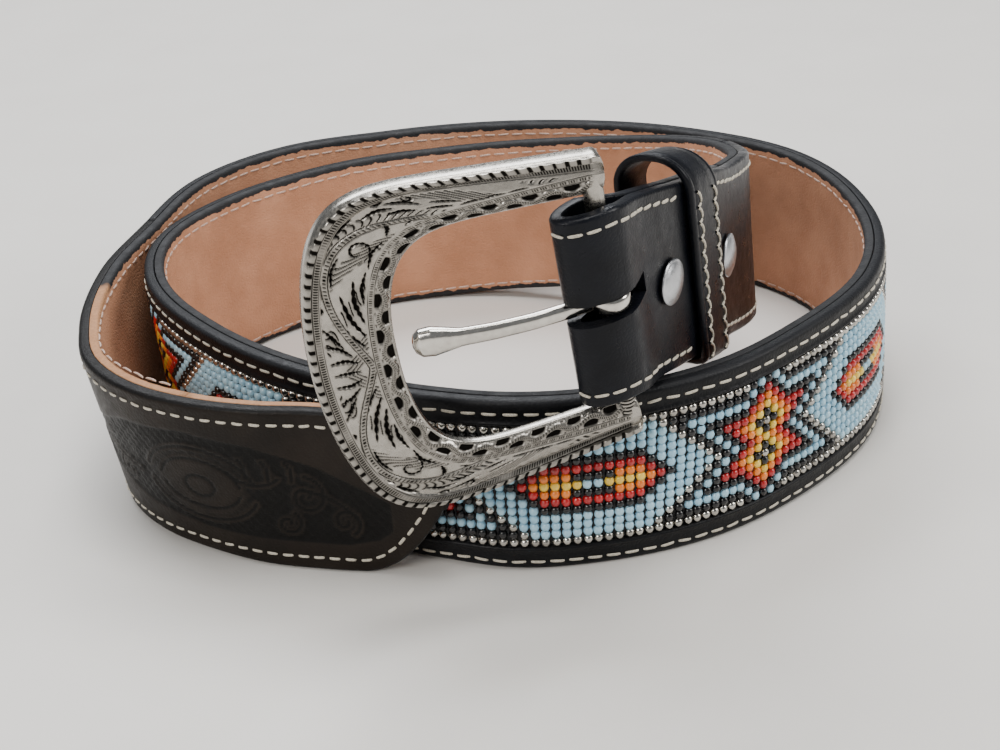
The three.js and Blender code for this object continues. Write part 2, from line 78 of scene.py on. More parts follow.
# The spiral's course, from a fit to edges read off the photograph, the same as in the CAD: turn in
# degrees, reach as a share of COIL_RADIUS, rise as a share of CROSSING, lean and rake in degrees
COURSE = np.array([
    [-77, 1.0393, 1.071, -0.5, -10.2], [-68, 0.9269, 0.993, -1.6, -9.9], [-60, 0.8403, 0.918, -1.4, -9.6],
    [-50, 0.7639, 0.839, -1.6, -9.5], [-38, 0.7007, 0.729, -2.4, -8.7], [-22, 0.6621, 0.629, -3.8, -7.3],
    [-5, 0.6250, 0.512, -1.2, -6.2], [14, 0.6034, 0.4, 0.2, -4.2], [34, 0.5940, 0.275, 2.1, -2.2],
    [55, 0.5974, 0.155, 4.6, -0.8], [77, 0.6134, 0.064, 7, 0], [106, 0.6575, 0, 6.9, 0],
    [136, 0.7207, 0, 4.9, 0], [155, 0.7831, 0, 4, 0], [172, 0.8306, 0, 4, 0], [189, 0.8266, 0, 4, 0],
    [215, 0.7771, 0, 5, 0], [241, 0.7777, 0, 6, 0], [260, 0.8185, 0, 5.7, 0], [271, 0.8541, 0, 4.6, 0],
    [283, 0.8718, 0, 5.2, 0], [300, 0.8848, 0, 3.4, 0], [318, 0.8852, 0, 0, 0], [339, 0.9170, 0, -1.5, 0],
    [366, 0.9314, 0, -1.9, 0], [390, 0.9395, 0, -1, 0], [412, 0.8801, 0, 0, 0], [440, 0.8241, 0, 0, 0],
    [469, 0.8288, 0, 0, 0], [488, 0.8904, 0, 0.1, 0], [506, 0.8967, 0, 1, 0], [528, 0.8502, 0, 2, 0],
    [546, 0.8794, 0, 6, 0], [562, 0.9382, 0, 8.7, 0], [570, 0.9675, 0, 9.3, 0], [579, 0.9596, 0, 8, 0],
    [588, 0.9256, 0, 6.1, 0], [596, 0.8884, 0, 2.9, 0], [604, 0.8440, 0, 0.6, 0], [614, 0.8244, 0, 2.8, 0],
    [632, 0.8634, 0, 4, 0], [645, 0.8876, 0, 4, 0]])


# The strap's course
def unit(v):
    return v / np.linalg.norm(v, axis=-1, keepdims=True)


def smooth(t):
    t = np.clip(t, 0, 1)
    return t * t * (3 - 2 * t)


def rising(x, start, span):
    """0 before the start, then evenly up to 1 over the span."""
    return np.clip((x - start) / span, 0, 1)


def falling(x, end, span):
    """1 down to 0 over the span before the end."""
    return np.clip((end - x) / span, 0, 1)


def lengths_along(points):
    """Length along a line at each of its points."""
    return np.concatenate([[0], np.cumsum(np.linalg.norm(np.diff(points, axis=0), axis=1))])


def points_at(points, lengths, at):
    """Points at some lengths along a line."""
    return np.stack([np.interp(at, lengths, column) for column in points.T], axis=1)


def circle(sides):
    return 2 * math.pi * np.arange(sides) / sides


def course_value(column, turn):
    turn = np.asarray(turn, float)
    rows, values = COURSE[:, 0], COURSE[:, column]
    n = len(rows)
    low, high = np.maximum(np.arange(n) - 1, 0), np.minimum(np.arange(n) + 1, n - 1)
    slope = (values[high] - values[low]) / (rows[high] - rows[low])
    i = np.clip(np.searchsorted(rows, turn, side="right") - 1, 0, n - 2)
    span = rows[i + 1] - rows[i]
    t = (turn - rows[i]) / span
    m0, m1 = slope[i] * span, slope[i + 1] * span
    return ((2 * t**3 - 3 * t**2 + 1) * values[i] + (t**3 - 2 * t**2 + t) * m0
            + (3 * t**2 - 2 * t**3) * values[i + 1] + (t**3 - t**2) * m1)


def plan(turn):
    radius = COIL_RADIUS * course_value(1, turn) + (THICK + TURN_GAP) * turn / 360
    angle = np.radians(turn)
    return np.stack([radius * np.cos(angle), radius * np.sin(angle), 0 * angle], axis=-1)


def lift(turn):
    return CROSSING * np.maximum(course_value(2, turn), 0)


def frames_at_turn(turn):
    step = 0.5
    before, after = plan(turn - step), plan(turn + step)
    along = unit(after - before)
    side = np.stack([along[:, 1], -along[:, 0], 0 * along[:, 0]], axis=-1)
    climb = (lift(turn + step) - lift(turn - step)) / np.linalg.norm(after - before, axis=1)
    lean, rake = np.radians(course_value(3, turn))[:, None], np.radians(course_value(4, turn))[:, None]
    z = np.array([0, 0, 1.0])
    up = unit(z * np.cos(lean) * np.cos(rake) + side * np.sin(lean) + along * np.sin(rake))
    course3 = unit(along + z * climb[:, None])
    out = unit(np.cross(course3, up))
    foot = plan(turn) - up * STRAP_WIDTH / 2
    foot[:, 2] = lift(turn) + np.abs(out[:, 2]) * THICK / 2
    return foot, up, out, course3


TURN_STEP = 0.5
TURNS = np.arange(COURSE[0, 0], COURSE[-1, 0] + 0.01, TURN_STEP)
course_foot, course_up = frames_at_turn(TURNS)[:2]
RULER = lengths_along(course_foot + course_up * STRAP_WIDTH / 2)


def frames(lengths):
    return frames_at_turn(np.interp(np.asarray(lengths, float), RULER, TURNS))


def strap_points(lengths, heights, offsets):
    """Points in metres from arrays of the same shape: length, height and offset in millimetres."""
    shape = np.shape(lengths)
    s = np.ravel(lengths)
    foot, up, out, _ = frames(s)
    p = foot + up * np.ravel(heights)[:, None] + out * np.ravel(offsets)[:, None] + GROUP_SHIFT
    return (p * MM).reshape(shape + (3,))


def end_width(s):
    return STRAP_WIDTH + (BILLET_WIDTH - STRAP_WIDTH) * smooth((s - TAPER[0]) / (TAPER[1] - TAPER[0]))


bar_foot, bar_up, _, bar_along = [v[0] for v in frames([0.0])]
bar_middle = bar_foot + bar_up * STRAP_WIDTH / 2
flat_along = unit(bar_along - bar_up * bar_along.dot(bar_up))


def turned_axes(degrees):
    """Axes of a piece on the bar: away from the strap, along the bar and to its front."""
    reach = -flat_along
    a = math.radians(degrees)
    reach = (reach * math.cos(a) + np.cross(bar_up, reach) * math.sin(a)
             + bar_up * bar_up.dot(reach) * (1 - math.cos(a)))
    return np.stack([reach, bar_up, unit(np.cross(bar_up, reach))])


# Meshes
def make_mesh(name, verts, quads, ngons=(), place=None, shade=None):
    mesh = bpy.data.meshes.new(name)
    quads = np.asarray(quads, np.int32).reshape(-1, 4)
    sizes = [np.full(len(quads), 4, np.int32)] + [np.array([len(n)], np.int32) for n in ngons]
    loops = np.concatenate([quads.ravel()] + [np.asarray(n, np.int32) for n in ngons])
    sizes = np.concatenate(sizes)
    mesh.vertices.add(len(verts))
    mesh.vertices.foreach_set("co", np.asarray(verts, np.float32).ravel())
    mesh.loops.add(len(loops))
    mesh.loops.foreach_set("vertex_index", loops)
    mesh.polygons.add(len(sizes))
    mesh.polygons.foreach_set("loop_start", np.concatenate([[0], np.cumsum(sizes)[:-1]]).astype(np.int32))
    mesh.update(calc_edges=True)
    mesh.polygons.foreach_set("use_smooth", np.full(len(sizes), True))
    if place is not None:
        mesh.attributes.new("place", "FLOAT_VECTOR", "POINT").data.foreach_set(
            "vector", np.asarray(place, np.float32).ravel())
    if shade is not None:
        mesh.attributes.new("shade", "FLOAT", "POINT").data.foreach_set(
            "value", np.asarray(shade, np.float32).ravel())
    mesh.update()
    obj = bpy.data.objects.new(name, mesh)
    bpy.context.scene.collection.objects.link(obj)
    return obj


def outward(obj):
    """Turns the faces outwards when the mesh was wound inside out."""
    mesh = obj.data
    n = len(mesh.vertices)
    co = np.empty(n * 3, np.float32)
    mesh.vertices.foreach_get("co", co)
    co = co.reshape(-1, 3).astype(float)
    mesh.calc_loop_triangles()
    tri = np.empty(len(mesh.loop_triangles) * 3, np.int32)
    mesh.loop_triangles.foreach_get("vertices", tri)
    a, b, c = (co[tri.reshape(-1, 3)[:, k]] for k in range(3))
    if np.sum(a * np.cross(b, c)) < 0:
        mesh.flip_normals()
    return obj


def loft(name, points, place=None, shade=None, closed_rows=False):
    """Closed rings of points (rows, ring, 3) joined into a tube, with flat ends."""
    rows, ring = points.shape[:2]
    r = np.arange(rows if closed_rows else rows - 1)
    a, b = np.meshgrid(r, np.arange(ring), indexing="ij")
    a2, b2 = (a + 1) % rows, (b + 1) % ring
    quads = np.stack([a * ring + b, a * ring + b2, a2 * ring + b2, a2 * ring + b], axis=-1)
    ends = [] if closed_rows else [np.arange(ring)[::-1], (rows - 1) * ring + np.arange(ring)]
    flat = None if place is None else place.reshape(-1, 3)
    tone = None if shade is None else shade.ravel()
    return outward(make_mesh(name, points.reshape(-1, 3), quads.reshape(-1, 4), ends, flat, tone))


def copies(name, verts, quads, centres, axes, shade=None):
    """One mesh of many copies of a small form. axes: rows are the local x, y and z of each copy."""
    n, k = len(centres), len(verts)
    p = centres[:, None, :] + np.einsum("kj,njc->nkc", verts, axes)
    q = (np.arange(n) * k)[:, None, None] + quads[None]
    tone = None if shade is None else np.repeat(shade, k)
    return make_mesh(name, p.reshape(-1, 3), q.reshape(-1, 4), shade=tone)


def turned_form(profile, sides):
    """Rings of a small round form about its x axis. profile: x and radius pairs."""
    verts, quads = [], []
    for x, radius in profile:
        for i in range(sides):
            a = 2 * math.pi * i / sides
            verts.append((x, radius * math.cos(a), radius * math.sin(a)))
    for j in range(len(profile) - 1):
        for i in range(sides):
            k = (i + 1) % sides
            quads.append((j * sides + i, (j + 1) * sides + i, (j + 1) * sides + k, j * sides + k))
    return np.array(verts), np.array(quads)


def keep(obj, material, body=BODY, replaces=()):
    obj.data.materials.clear()
    obj.data.materials.append(material)
    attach(obj, body)
    if replaces:
        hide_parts(*replaces)
    return obj


# Materials
class Nodes:
    """A small helper that adds nodes to one material."""

    def __init__(self, name):
        self.material = bpy.data.materials.new(name)
        self.material.use_nodes = True
        self.tree = self.material.node_tree
        self.shader = self.tree.nodes["Principled BSDF"]

    def add(self, kind, **values):
        node = self.tree.nodes.new(kind)
        for key, value in values.items():
            if key in node.inputs:
                self.put(node.inputs[key], value)
            else:
                setattr(node, key, value)
        return node

    def put(self, socket, value):
        if isinstance(value, bpy.types.NodeSocket):
            self.tree.links.new(value, socket)
        else:
            socket.default_value = value

    def math(self, operation, a, b=0.0):
        node = self.tree.nodes.new("ShaderNodeMath")
        node.operation = operation
        self.put(node.inputs[0], a)
        self.put(node.inputs[1], b)
        return node.outputs[0]

    def mix(self, factor, a, b):
        node = self.tree.nodes.new("ShaderNodeMix")
        node.data_type = "RGBA"
        self.put(node.inputs["Factor"], factor)
        self.put(node.inputs[6], a)
        self.put(node.inputs[7], b)
        return node.outputs[2]

    def ramp(self, value, low, high, to_low=0.0, to_high=1.0):
        node = self.tree.nodes.new("ShaderNodeMapRange")
        for socket, item in zip(node.inputs, (value, low, high, to_low, to_high)):
            self.put(socket, item)
        return node.outputs[0]

    def noise(self, vector, scale, detail=3.0):
        node = self.add("ShaderNodeTexNoise", Scale=scale, Detail=detail, Roughness=0.55)
        self.put(node.inputs["Vector"], vector)
        return node.outputs["Fac"]

    def cells(self, vector, scale):
        """Distance from the edges of small cells."""
        node = self.add("ShaderNodeTexVoronoi", Scale=scale)
        node.feature = "DISTANCE_TO_EDGE"
        self.put(node.inputs["Vector"], vector)
        return node.outputs["Distance"]

    def position(self):
        return self.tree.nodes.new("ShaderNodeTexCoord").outputs["Object"]

    def attribute(self, name, output="Vector"):
        node = self.add("ShaderNodeAttribute")
        node.attribute_type = "GEOMETRY"
        node.attribute_name = name
        return node.outputs[output]

    def bump(self, height, distance):
        node = self.tree.nodes.new("ShaderNodeBump")
        node.inputs["Strength"].default_value = 1.0
        node.inputs["Distance"].default_value = distance
        self.put(node.inputs["Height"], height)
        return node.outputs["Normal"]

    def finish(self, color, roughness, normal=None, metallic=0.0, coat=0.0, specular=0.5):
        values = {"Base Color": color, "Roughness": roughness, "Metallic": metallic, "Coat Weight": coat,
                  "Coat Roughness": 0.3, "Specular IOR Level": specular}
        if normal is not None:
            values["Normal"] = normal
        for name, value in values.items():
            self.put(self.shader.inputs[name], value)
        return self.material


def dimmed(tone, share):
    return (*[share * c for c in tone], 1)


def leather(name, tone, tone2, rough, grain, edge=None, wrap=0.9, raw=None, raw_from=0.0, cuts=False,
            specular=0.4):
    """Grained leather in two tones. edge: colour of the paint on the edges, which wraps over by some
    millimetres. raw: colour of the bare edge past a length. cuts: painted shade in the tooled lines."""
    n = Nodes(name)
    pos = n.position()
    blotch = n.noise(pos, 90.0, 4.0)
    fine = n.noise(pos, 2600.0, 3.0)
    color = n.mix(n.ramp(blotch, 0.35, 0.65), (*tone, 1), (*tone2, 1))
    creases = n.ramp(n.cells(pos, 1100.0), 0.0, 0.25)
    normal = n.bump(n.math("ADD", n.math("MULTIPLY", creases, 0.6), n.math("MULTIPLY", fine, 0.4)), grain)
    roughness = n.ramp(n.noise(pos, 400.0), 0.3, 0.7, rough[0], rough[1])
    if edge is not None:
        across = n.tree.nodes.new("ShaderNodeSeparateXYZ")
        n.put(across.inputs[0], n.attribute("place"))
        ragged = n.math("MULTIPLY", n.math("SUBTRACT", n.noise(pos, 420.0, 2.0), 0.5), 1.5 * wrap)
        depth = n.math("SUBTRACT", across.outputs[2], ragged)
        paint = n.ramp(depth, wrap - 0.08, wrap + 0.08, 1.0, 0.0)
        edge_color = (*edge, 1)
        if raw is not None:
            fibre = n.mix(n.noise(pos, 1500.0, 3.0), (*raw, 1), dimmed(raw, 0.45))
            late = n.math("ADD", across.outputs[0], n.math("MULTIPLY", n.noise(pos, 160.0), 6.0))
            edge_color = n.mix(n.ramp(late, raw_from, raw_from + 2.0), (*edge, 1), fibre)
        color = n.mix(paint, color, edge_color)
        roughness = n.math("ADD", roughness, n.math("MULTIPLY", paint, 0.05))
    # painted shade: the tooled cuts are darkened by their depth, read from the shade attribute
    if cuts:
        depth = n.ramp(n.attribute("shade", "Fac"), 0.05, 0.6, 0.0, 0.95)
        color = n.mix(depth, color, dimmed(tone, 0.1))
    return n.finish(color, roughness, normal, specular=specular)


TAN_EDGE = (0.50, 0.25, 0.12)
EDGE_PAINT = (0.0095, 0.0100, 0.0118)
RAW_FROM = 795.0
black_leather = leather("black_leather", (0.0026, 0.0028, 0.0036), (0.0052, 0.0056, 0.0070),
                        (0.34, 0.5), 0.00005, edge=EDGE_PAINT, wrap=0.55, specular=0.17)
grey_leather = leather("grey_leather", (0.012, 0.0125, 0.0135), (0.022, 0.023, 0.025),
                       (0.5, 0.7), 0.00006, edge=(0.02, 0.02, 0.022), raw=TAN_EDGE, raw_from=100.0)
tab_leather = leather("tab_leather", (0.0024, 0.0028, 0.0044), (0.0058, 0.0068, 0.0102),
                      (0.26, 0.42), 0.00004, specular=0.16)
lining_leather = leather("lining_leather", (0.40, 0.185, 0.100), (0.50, 0.245, 0.140), (0.6, 0.8),
                         0.00007, edge=EDGE_PAINT, wrap=1.25, raw=TAN_EDGE, raw_from=RAW_FROM)
# cuts=True paints shade into the tooled lines of the end
billet_leather = leather("billet_leather", (0.0072, 0.0050, 0.0036), (0.0135, 0.0092, 0.0064),
                         (0.34, 0.5), 0.00005, edge=(0.006, 0.0055, 0.0055), wrap=0.5, cuts=True,
                         specular=0.14)


def bead_glass(name, color, dark, rough=0.16, metallic=0.0, coat=0.5):
    """Glass beads that each take a tone between two colours."""
    n = Nodes(name)
    shade = n.attribute("shade", "Fac")
    body = n.mix(shade, (*color, 1), (*dark, 1))
    tone = n.mix(n.ramp(n.noise(n.position(), 900.0, 2.0), 0.3, 0.7, 0.0, 0.25), body, (*dark, 1))
    normal = n.bump(n.noise(n.position(), 1500.0, 1.0), 0.00004)
    return n.finish(tone, n.ramp(shade, 0.0, 1.0, rough, rough + 0.12), normal, metallic=metallic, coat=coat)


BEAD_COLOURS = {
    "b": ("blue", bead_glass("bead_blue", (0.42, 0.65, 0.76), (0.31, 0.54, 0.69))),
    "k": ("black", bead_glass("bead_black", (0.002, 0.002, 0.003), (0.006, 0.006, 0.007), 0.1, coat=0.2)),
    "s": ("silver", bead_glass("bead_silver", (0.62, 0.60, 0.55), (0.36, 0.34, 0.31), 0.14, 1.0, 0.0)),
    "r": ("red", bead_glass("bead_red", (0.52, 0.010, 0.012), (0.34, 0.005, 0.008))),
    "o": ("orange", bead_glass("bead_orange", (0.88, 0.25, 0.020), (0.72, 0.16, 0.012))),
    "y": ("yellow", bead_glass("bead_yellow", (0.90, 0.64, 0.08), (0.76, 0.50, 0.05))),
}


def thread(name, color, dark):
    n = Nodes(name)
    pos = n.position()
    strands = n.noise(pos, 5200.0, 2.0)
    tone = n.mix(n.ramp(strands, 0.35, 0.7), (*dark, 1), (*color, 1))
    return n.finish(tone, 0.72, n.bump(strands, 0.00006))


cream_thread = thread("cream_thread", (0.70, 0.66, 0.56), (0.36, 0.32, 0.25))
pink_thread = thread("pink_thread", (0.66, 0.50, 0.42), (0.34, 0.22, 0.17))
dark_thread = thread("dark_thread", (0.012, 0.012, 0.014), (0.004, 0.004, 0.005))


def silver(name, bright, dark, rough, use_relief=True):
    """Metal with light wear. use_relief: the cuts of the shade attribute are dark and duller."""
    n = Nodes(name)
    pos = n.position()
    wear = n.noise(pos, 700.0, 4.0)
    color = n.mix(n.ramp(wear, 0.35, 0.7), (*bright, 1), dimmed(bright, 0.82))
    roughness = n.ramp(n.noise(pos, 1800.0), 0.3, 0.7, rough, rough + 0.14)
    if use_relief:
        cut = n.ramp(n.attribute("shade", "Fac"), 0.12, 0.85)
        color = n.mix(cut, color, (*dark, 1))
        roughness = n.math("ADD", roughness, n.math("MULTIPLY", cut, 0.32))
    return n.finish(color, roughness, n.bump(wear, 0.00003), metallic=1.0)


antique_silver = silver("antique_silver", (0.43, 0.405, 0.365), (0.008, 0.007, 0.006), 0.2)
polished_metal = silver("polished_metal", (0.66, 0.63, 0.58), (0, 0, 0), 0.10, False)
cap_metal = silver("cap_metal", (0.52, 0.53, 0.55), (0, 0, 0), 0.26, False)


# Strap layers
# Rounding of the leather's edges on the face and on the back
FACE_ROUND = (1.1, 0.25)
TAB_ROUND = (0.75, 0.35)
BILLET_ROUND = (1.0, 0.25)
LINING_ROUND = (0.2, 0.8)
CORNER_POINTS = 5
LOW_POINTS = 2 * CORNER_POINTS


def lengths_between(start, end, pitch):
    count = max(int(round((end - start) / pitch)), 1)
    return np.linspace(start, end, count + 1)


def ring_profile(low, high, inner, outer, face_radius, back_radius, face_steps, relief=None):
    """Heights and offsets round a layer for one station. The face runs from low to high."""
    corner = np.linspace(0, math.pi / 2, CORNER_POINTS)
    heights, offsets = [], []
    for a in corner:
        heights.append(low + back_radius * (1 - math.sin(a)))
        offsets.append(inner + back_radius * (1 - math.cos(a)))
    for a in corner:
        heights.append(low + face_radius * (1 - math.cos(a)))
        offsets.append(outer - face_radius * (1 - math.sin(a)))
    face = np.linspace(low + face_radius, high - face_radius, face_steps + 2)[1:-1]
    heights.extend(face)
    offsets.extend(np.full(len(face), outer) if relief is None else outer + relief(face))
    for a in corner[::-1]:
        heights.append(high - face_radius * (1 - math.cos(a)))
        offsets.append(outer - face_radius * (1 - math.sin(a)))
    for a in corner[::-1]:
        heights.append(high - back_radius * (1 - math.sin(a)))
        offsets.append(inner + back_radius * (1 - math.cos(a)))
    rear = np.linspace(high - back_radius, low + back_radius, 9)[1:-1]
    heights.extend(rear)
    offsets.extend(np.full(len(rear), inner))
    return np.array(heights), np.array(offsets)


def strap_layer(name, lengths, low_high, inner, outer, radii, face_steps, relief=None):
    """One layer of the strap, with its cut depth in the shade attribute."""
    rows_h, rows_o, rows_d, rows_cut_shade = [], [], [], []
    for s in lengths:
        low, high = low_high(s)
        fr, br = (min(r, (high - low) / 2.5) for r in radii)
        here = None if relief is None else (lambda f, s=s, lo=low, hi=high: relief(s, f, lo, hi))
        h, o = ring_profile(low, high, inner, outer, fr, br, face_steps, here)
        rows_h.append(h)
        rows_o.append(o)
        rows_d.append(np.minimum(h - low, high - h))
        on_face = (np.arange(len(h)) >= LOW_POINTS) & (np.arange(len(h)) < LOW_POINTS + face_steps)
        # depth of a tooled cut, which the tooled end's material turns into painted shade
        rows_cut_shade.append(np.where(on_face, np.clip((outer - o) / 0.3, 0, 1), 0))
    h, o, d, tone = (np.array(v) for v in (rows_h, rows_o, rows_d, rows_cut_shade))
    s = np.repeat(np.asarray(lengths)[:, None], h.shape[1], axis=1)
    points = strap_points(s, h, o)
    return loft(name, points, np.stack([s, h, d], axis=-1), tone)


def full(s):
    return 0.0, float(end_width(s))


# Face of the long strap, with a slim raised lip round the sunk window
LIP_WIDTH = 0.9
LIP_HEIGHT = 0.3
FLOOR_WALL = 0.12
END_WALL = 0.15
STATION_PITCH = 3.0
window_low = (STRAP_WIDTH - WINDOW_WIDTH) / 2
window_high = STRAP_WIDTH - window_low
edge_stations = [end + side * d for end, side in zip(WINDOW, (-1, 1))
                 for d in (LIP_WIDTH, LIP_WIDTH / 2, END_WALL, -END_WALL)]
face_stations = np.unique(np.concatenate([lengths_between(TAB_END + BUTT, FACE_END, STATION_PITCH),
                                          edge_stations]))


def lip(share):
    return LIP_HEIGHT * np.clip(1 - (2 * share - 1) ** 2, 0, None)


def window_ring(s):
    """Heights and offsets of the face with its window at one station."""
    inside = WINDOW[0] < s < WINDOW[1]
    near = LIP_WIDTH * 1.01 >= (WINDOW[0] - s) >= 0 or LIP_WIDTH * 1.01 >= (s - WINDOW[1]) >= 0
    gap = WINDOW[0] - s if s <= WINDOW[0] else s - WINDOW[1]
    level = -WINDOW_DEPTH if inside else lip(np.array(gap) / LIP_WIDTH) if near else 0.0
    share = np.array([0.25, 0.5, 0.75])
    low = np.concatenate([[1.9, 3.2, window_low - LIP_WIDTH], window_low - LIP_WIDTH * (1 - share),
                          [window_low - 0.02, window_low + FLOOR_WALL]])
    low_offsets = np.concatenate([[0, 0, 0], lip(share) * inside, [0, level]])
    floor = np.linspace(window_low + 3, window_high - 3, 4)
    heights = np.concatenate([low, floor, STRAP_WIDTH - low[::-1]])
    offsets = np.concatenate([low_offsets, np.full(len(floor), level), low_offsets[::-1]])
    return heights, FACE_OUTER + offsets


def face_layer():
    """Face of the strap with the lip and the sunk floor of its window."""
    rows = []
    edge = np.array(ring_profile(0, STRAP_WIDTH, FACE_INNER, FACE_OUTER, *FACE_ROUND, 0))
    for s in face_stations:
        rows.append(np.concatenate([edge[:, :LOW_POINTS], window_ring(s), edge[:, LOW_POINTS:]], axis=1))
    h, o = np.stack(rows, axis=1)
    s = np.repeat(face_stations[:, None], h.shape[1], axis=1)
    d = np.minimum(h, STRAP_WIDTH - h)
    return loft("strap_face_leather", strap_points(s, h, o), np.stack([s, h, d], axis=-1))


keep(face_layer(), black_leather, replaces=("strap_face",))
lining_stations = lengths_between(FLAP_END + 2 * BUTT, LINING_END, STATION_PITCH)
keep(strap_layer("strap_lining_leather", lining_stations, full, LINING_INNER,
                 LINING_OUTER + LAYER_GAP / 2, LINING_ROUND, 3),
     lining_leather, replaces=("strap_lining",))

# Beads
# One quarter of the repeat. Rows go from the middle row outwards, columns from the star's middle
# to the lozenge's: b blue, k black, s silver, r red, o orange, y yellow.
CHART = [
    "yorkbksbbbbkroyyyyb",
    "kyorkbksbbbbkroookk",
    "skyorkbksbbbbkrrrrr",
    "kyorrrkbksbbbbkkkkk",
    "yorkkkkkbksbbbbbbbb",
    "orkbbbbbbbksbbbbbbb",
    "rkbkkkkkkkkksbbbbbb",
    "kbkssssssssssssssss",
]
ROWS = 15
ROW_PITCH = 1.83
COLUMN_PITCH = 2.0
STAR_AT = 447.6
REPEAT = 37
BEAD_TOP = FACE_OUTER + 0.42
BEAD_RADIUS = 0.97
WINDOW_MARGIN = 1.1
# A bead's outline: place along its axis and radius, as shares of BEAD_RADIUS
BEAD = [(-0.88, 0.42), (-0.72, 0.80), (0.0, 1.0), (0.72, 0.80), (0.88, 0.42)]
rng = np.random.default_rng(7)


def bead_strip():
    """Every bead of the strip, one mesh for each colour."""
    first = int(math.ceil((WINDOW[0] + WINDOW_MARGIN - STAR_AT) / COLUMN_PITCH))
    last = int(math.floor((WINDOW[1] - WINDOW_MARGIN - STAR_AT) / COLUMN_PITCH))
    columns = np.arange(first, last + 1)
    s, r = np.meshgrid(columns, np.arange(ROWS), indexing="ij")
    s, r = s.ravel(), r.ravel()
    place = (s + REPEAT // 2) % REPEAT - REPEAT // 2
    letters = np.array([CHART[abs(b - ROWS // 2)][abs(a)] for a, b in zip(place, r)])
    length = STAR_AT + s * COLUMN_PITCH + rng.normal(0, 0.05, len(s))
    height = STRAP_WIDTH / 2 + (r - ROWS // 2) * ROW_PITCH + rng.normal(0, 0.035, len(s))
    size = BEAD_RADIUS * (1 + rng.normal(0, 0.02, len(s)))
    centre = strap_points(length, height, BEAD_TOP - size)
    _, up, out, along = frames(length)
    tilt = rng.normal(0, 0.06, len(s))[:, None]
    x = unit(up + along * tilt)
    z = unit(out + along * rng.normal(0, 0.06, len(s))[:, None])
    y = unit(np.cross(z, x))
    axes = np.stack([x, y, np.cross(x, y)], axis=1) * (size * MM)[:, None, None]
    form, faces = turned_form(BEAD, 10)
    tone = rng.random(len(s))
    for letter, (word, material) in BEAD_COLOURS.items():
        pick = letters == letter
        obj = copies("beads_" + word, form, faces, centre[pick], axes[pick], tone[pick])
        keep(obj, material)


bead_strip()
backing = strap_layer("bead_backing", lengths_between(WINDOW[0] + 0.3, WINDOW[1] - 0.3, 3.0),
                      lambda s: (window_low + 0.3, window_high - 0.3),
                      FACE_OUTER - WINDOW_DEPTH + 0.1, FACE_OUTER - 0.55, (0.1, 0.1), 2)
keep(backing, dark_thread, replaces=("bead_panel",))


# Stitches
# Stitches in millimetres: how wide and how high, and how far they stand off the leather
STITCH_WIDTH = 0.62
STITCH_HEIGHT = 0.2
STITCH_OFF = 0.03
STRAP_STITCH = 3.6
TAB_STITCH = 3.3
BILLET_STITCH = 3.15
AIM = 0.4


def resample(path, pitch):
    """Middle and direction of each stitch along a path."""
    path = np.asarray(path, float)
    d = lengths_along(path)
    count = int(d[-1] / pitch)
    at = (np.arange(count) + 0.5) * d[-1] / count
    return points_at(path, d, at), unit(points_at(path, d, at + AIM) - points_at(path, d, at - AIM))


def stitch_form(length, width):
    """A pulled-down stitch: share of its half length, share of its section and rise."""
    half = length / 2
    rows = [(-1.0, 0.35, -0.9), (-0.86, 0.8, -0.1), (-0.5, 1.0, 0.25), (0.0, 1.0, 0.35),
            (0.5, 1.0, 0.25), (0.86, 0.8, -0.1), (1.0, 0.35, -0.9)]
    sides = 8
    verts, quads = [], []
    for x, scale, rise in rows:
        for i in range(sides):
            a = 2 * math.pi * i / sides
            verts.append((x * half, math.cos(a) * width / 2 * scale,
                          STITCH_HEIGHT * (math.sin(a) * scale + rise)))
    for j in range(len(rows) - 1):
        for i in range(sides):
            k = (i + 1) % sides
            quads.append((j * sides + i, j * sides + k, (j + 1) * sides + k, (j + 1) * sides + i))
    return np.array(verts), np.array(quads)


def stitches(name, path, pitch, offset, material, share=0.8, width=STITCH_WIDTH, slant=0.0, side=1,
             skip=None):
    """Stitches along a path of length and height pairs. side: -1 puts them on the lining."""
    mid, direction = resample(path, pitch)
    if skip is not None:
        good = (mid[:, 0] < skip[0]) | (mid[:, 0] > skip[1])
        mid, direction = mid[good], direction[good]
    away = offset(mid[:, 0]) if callable(offset) else np.full(len(mid), offset)
    _, up, out, along = frames(mid[:, 0])
    turn = slant + rng.normal(0, 0.05, len(mid))
    dx = direction[:, 0] * np.cos(turn) - direction[:, 1] * np.sin(turn)
    dy = direction[:, 0] * np.sin(turn) + direction[:, 1] * np.cos(turn)
    x = unit(along * dx[:, None] + up * dy[:, None])
    z = unit(out * side - x * np.sum(out * side * x, axis=1)[:, None])
    y = np.cross(z, x)
    centre = strap_points(mid[:, 0], mid[:, 1], away)
    form, faces = stitch_form(pitch * share, width)
    axes = np.stack([x, y, z], axis=1) * MM
    return keep(copies(name, form, faces, centre, axes), material)


INSET_TOP = 2.6
INSET_LOW = 1.9


def straight(height, start, end):
    return [(s, height) for s in np.arange(start, end, STATION_PITCH)] + [(end, height)]


for line, height in (("top", STRAP_WIDTH - INSET_TOP), ("low", INSET_LOW)):
    stitches("stitches_face_" + line, straight(height, TAB_END + 1, FACE_END - 0.5), STRAP_STITCH,
             FACE_OUTER + STITCH_OFF, cream_thread)
for line, height in (("top", STRAP_WIDTH - INSET_TOP), ("low", INSET_LOW)):
    stitches("stitches_lining_" + line, straight(height, FLAP_END + 2, LINING_END - 4), STRAP_STITCH,
             LINING_INNER - STITCH_OFF, pink_thread, side=-1, width=0.5)


# Tooled end
def billet_half(s):
    """Half of the end's width at a length."""
    share = np.clip((s - (BILLET_END - TIP)) / TIP, 0, 1)
    return end_width(s) / 2 * (1 - share**2)


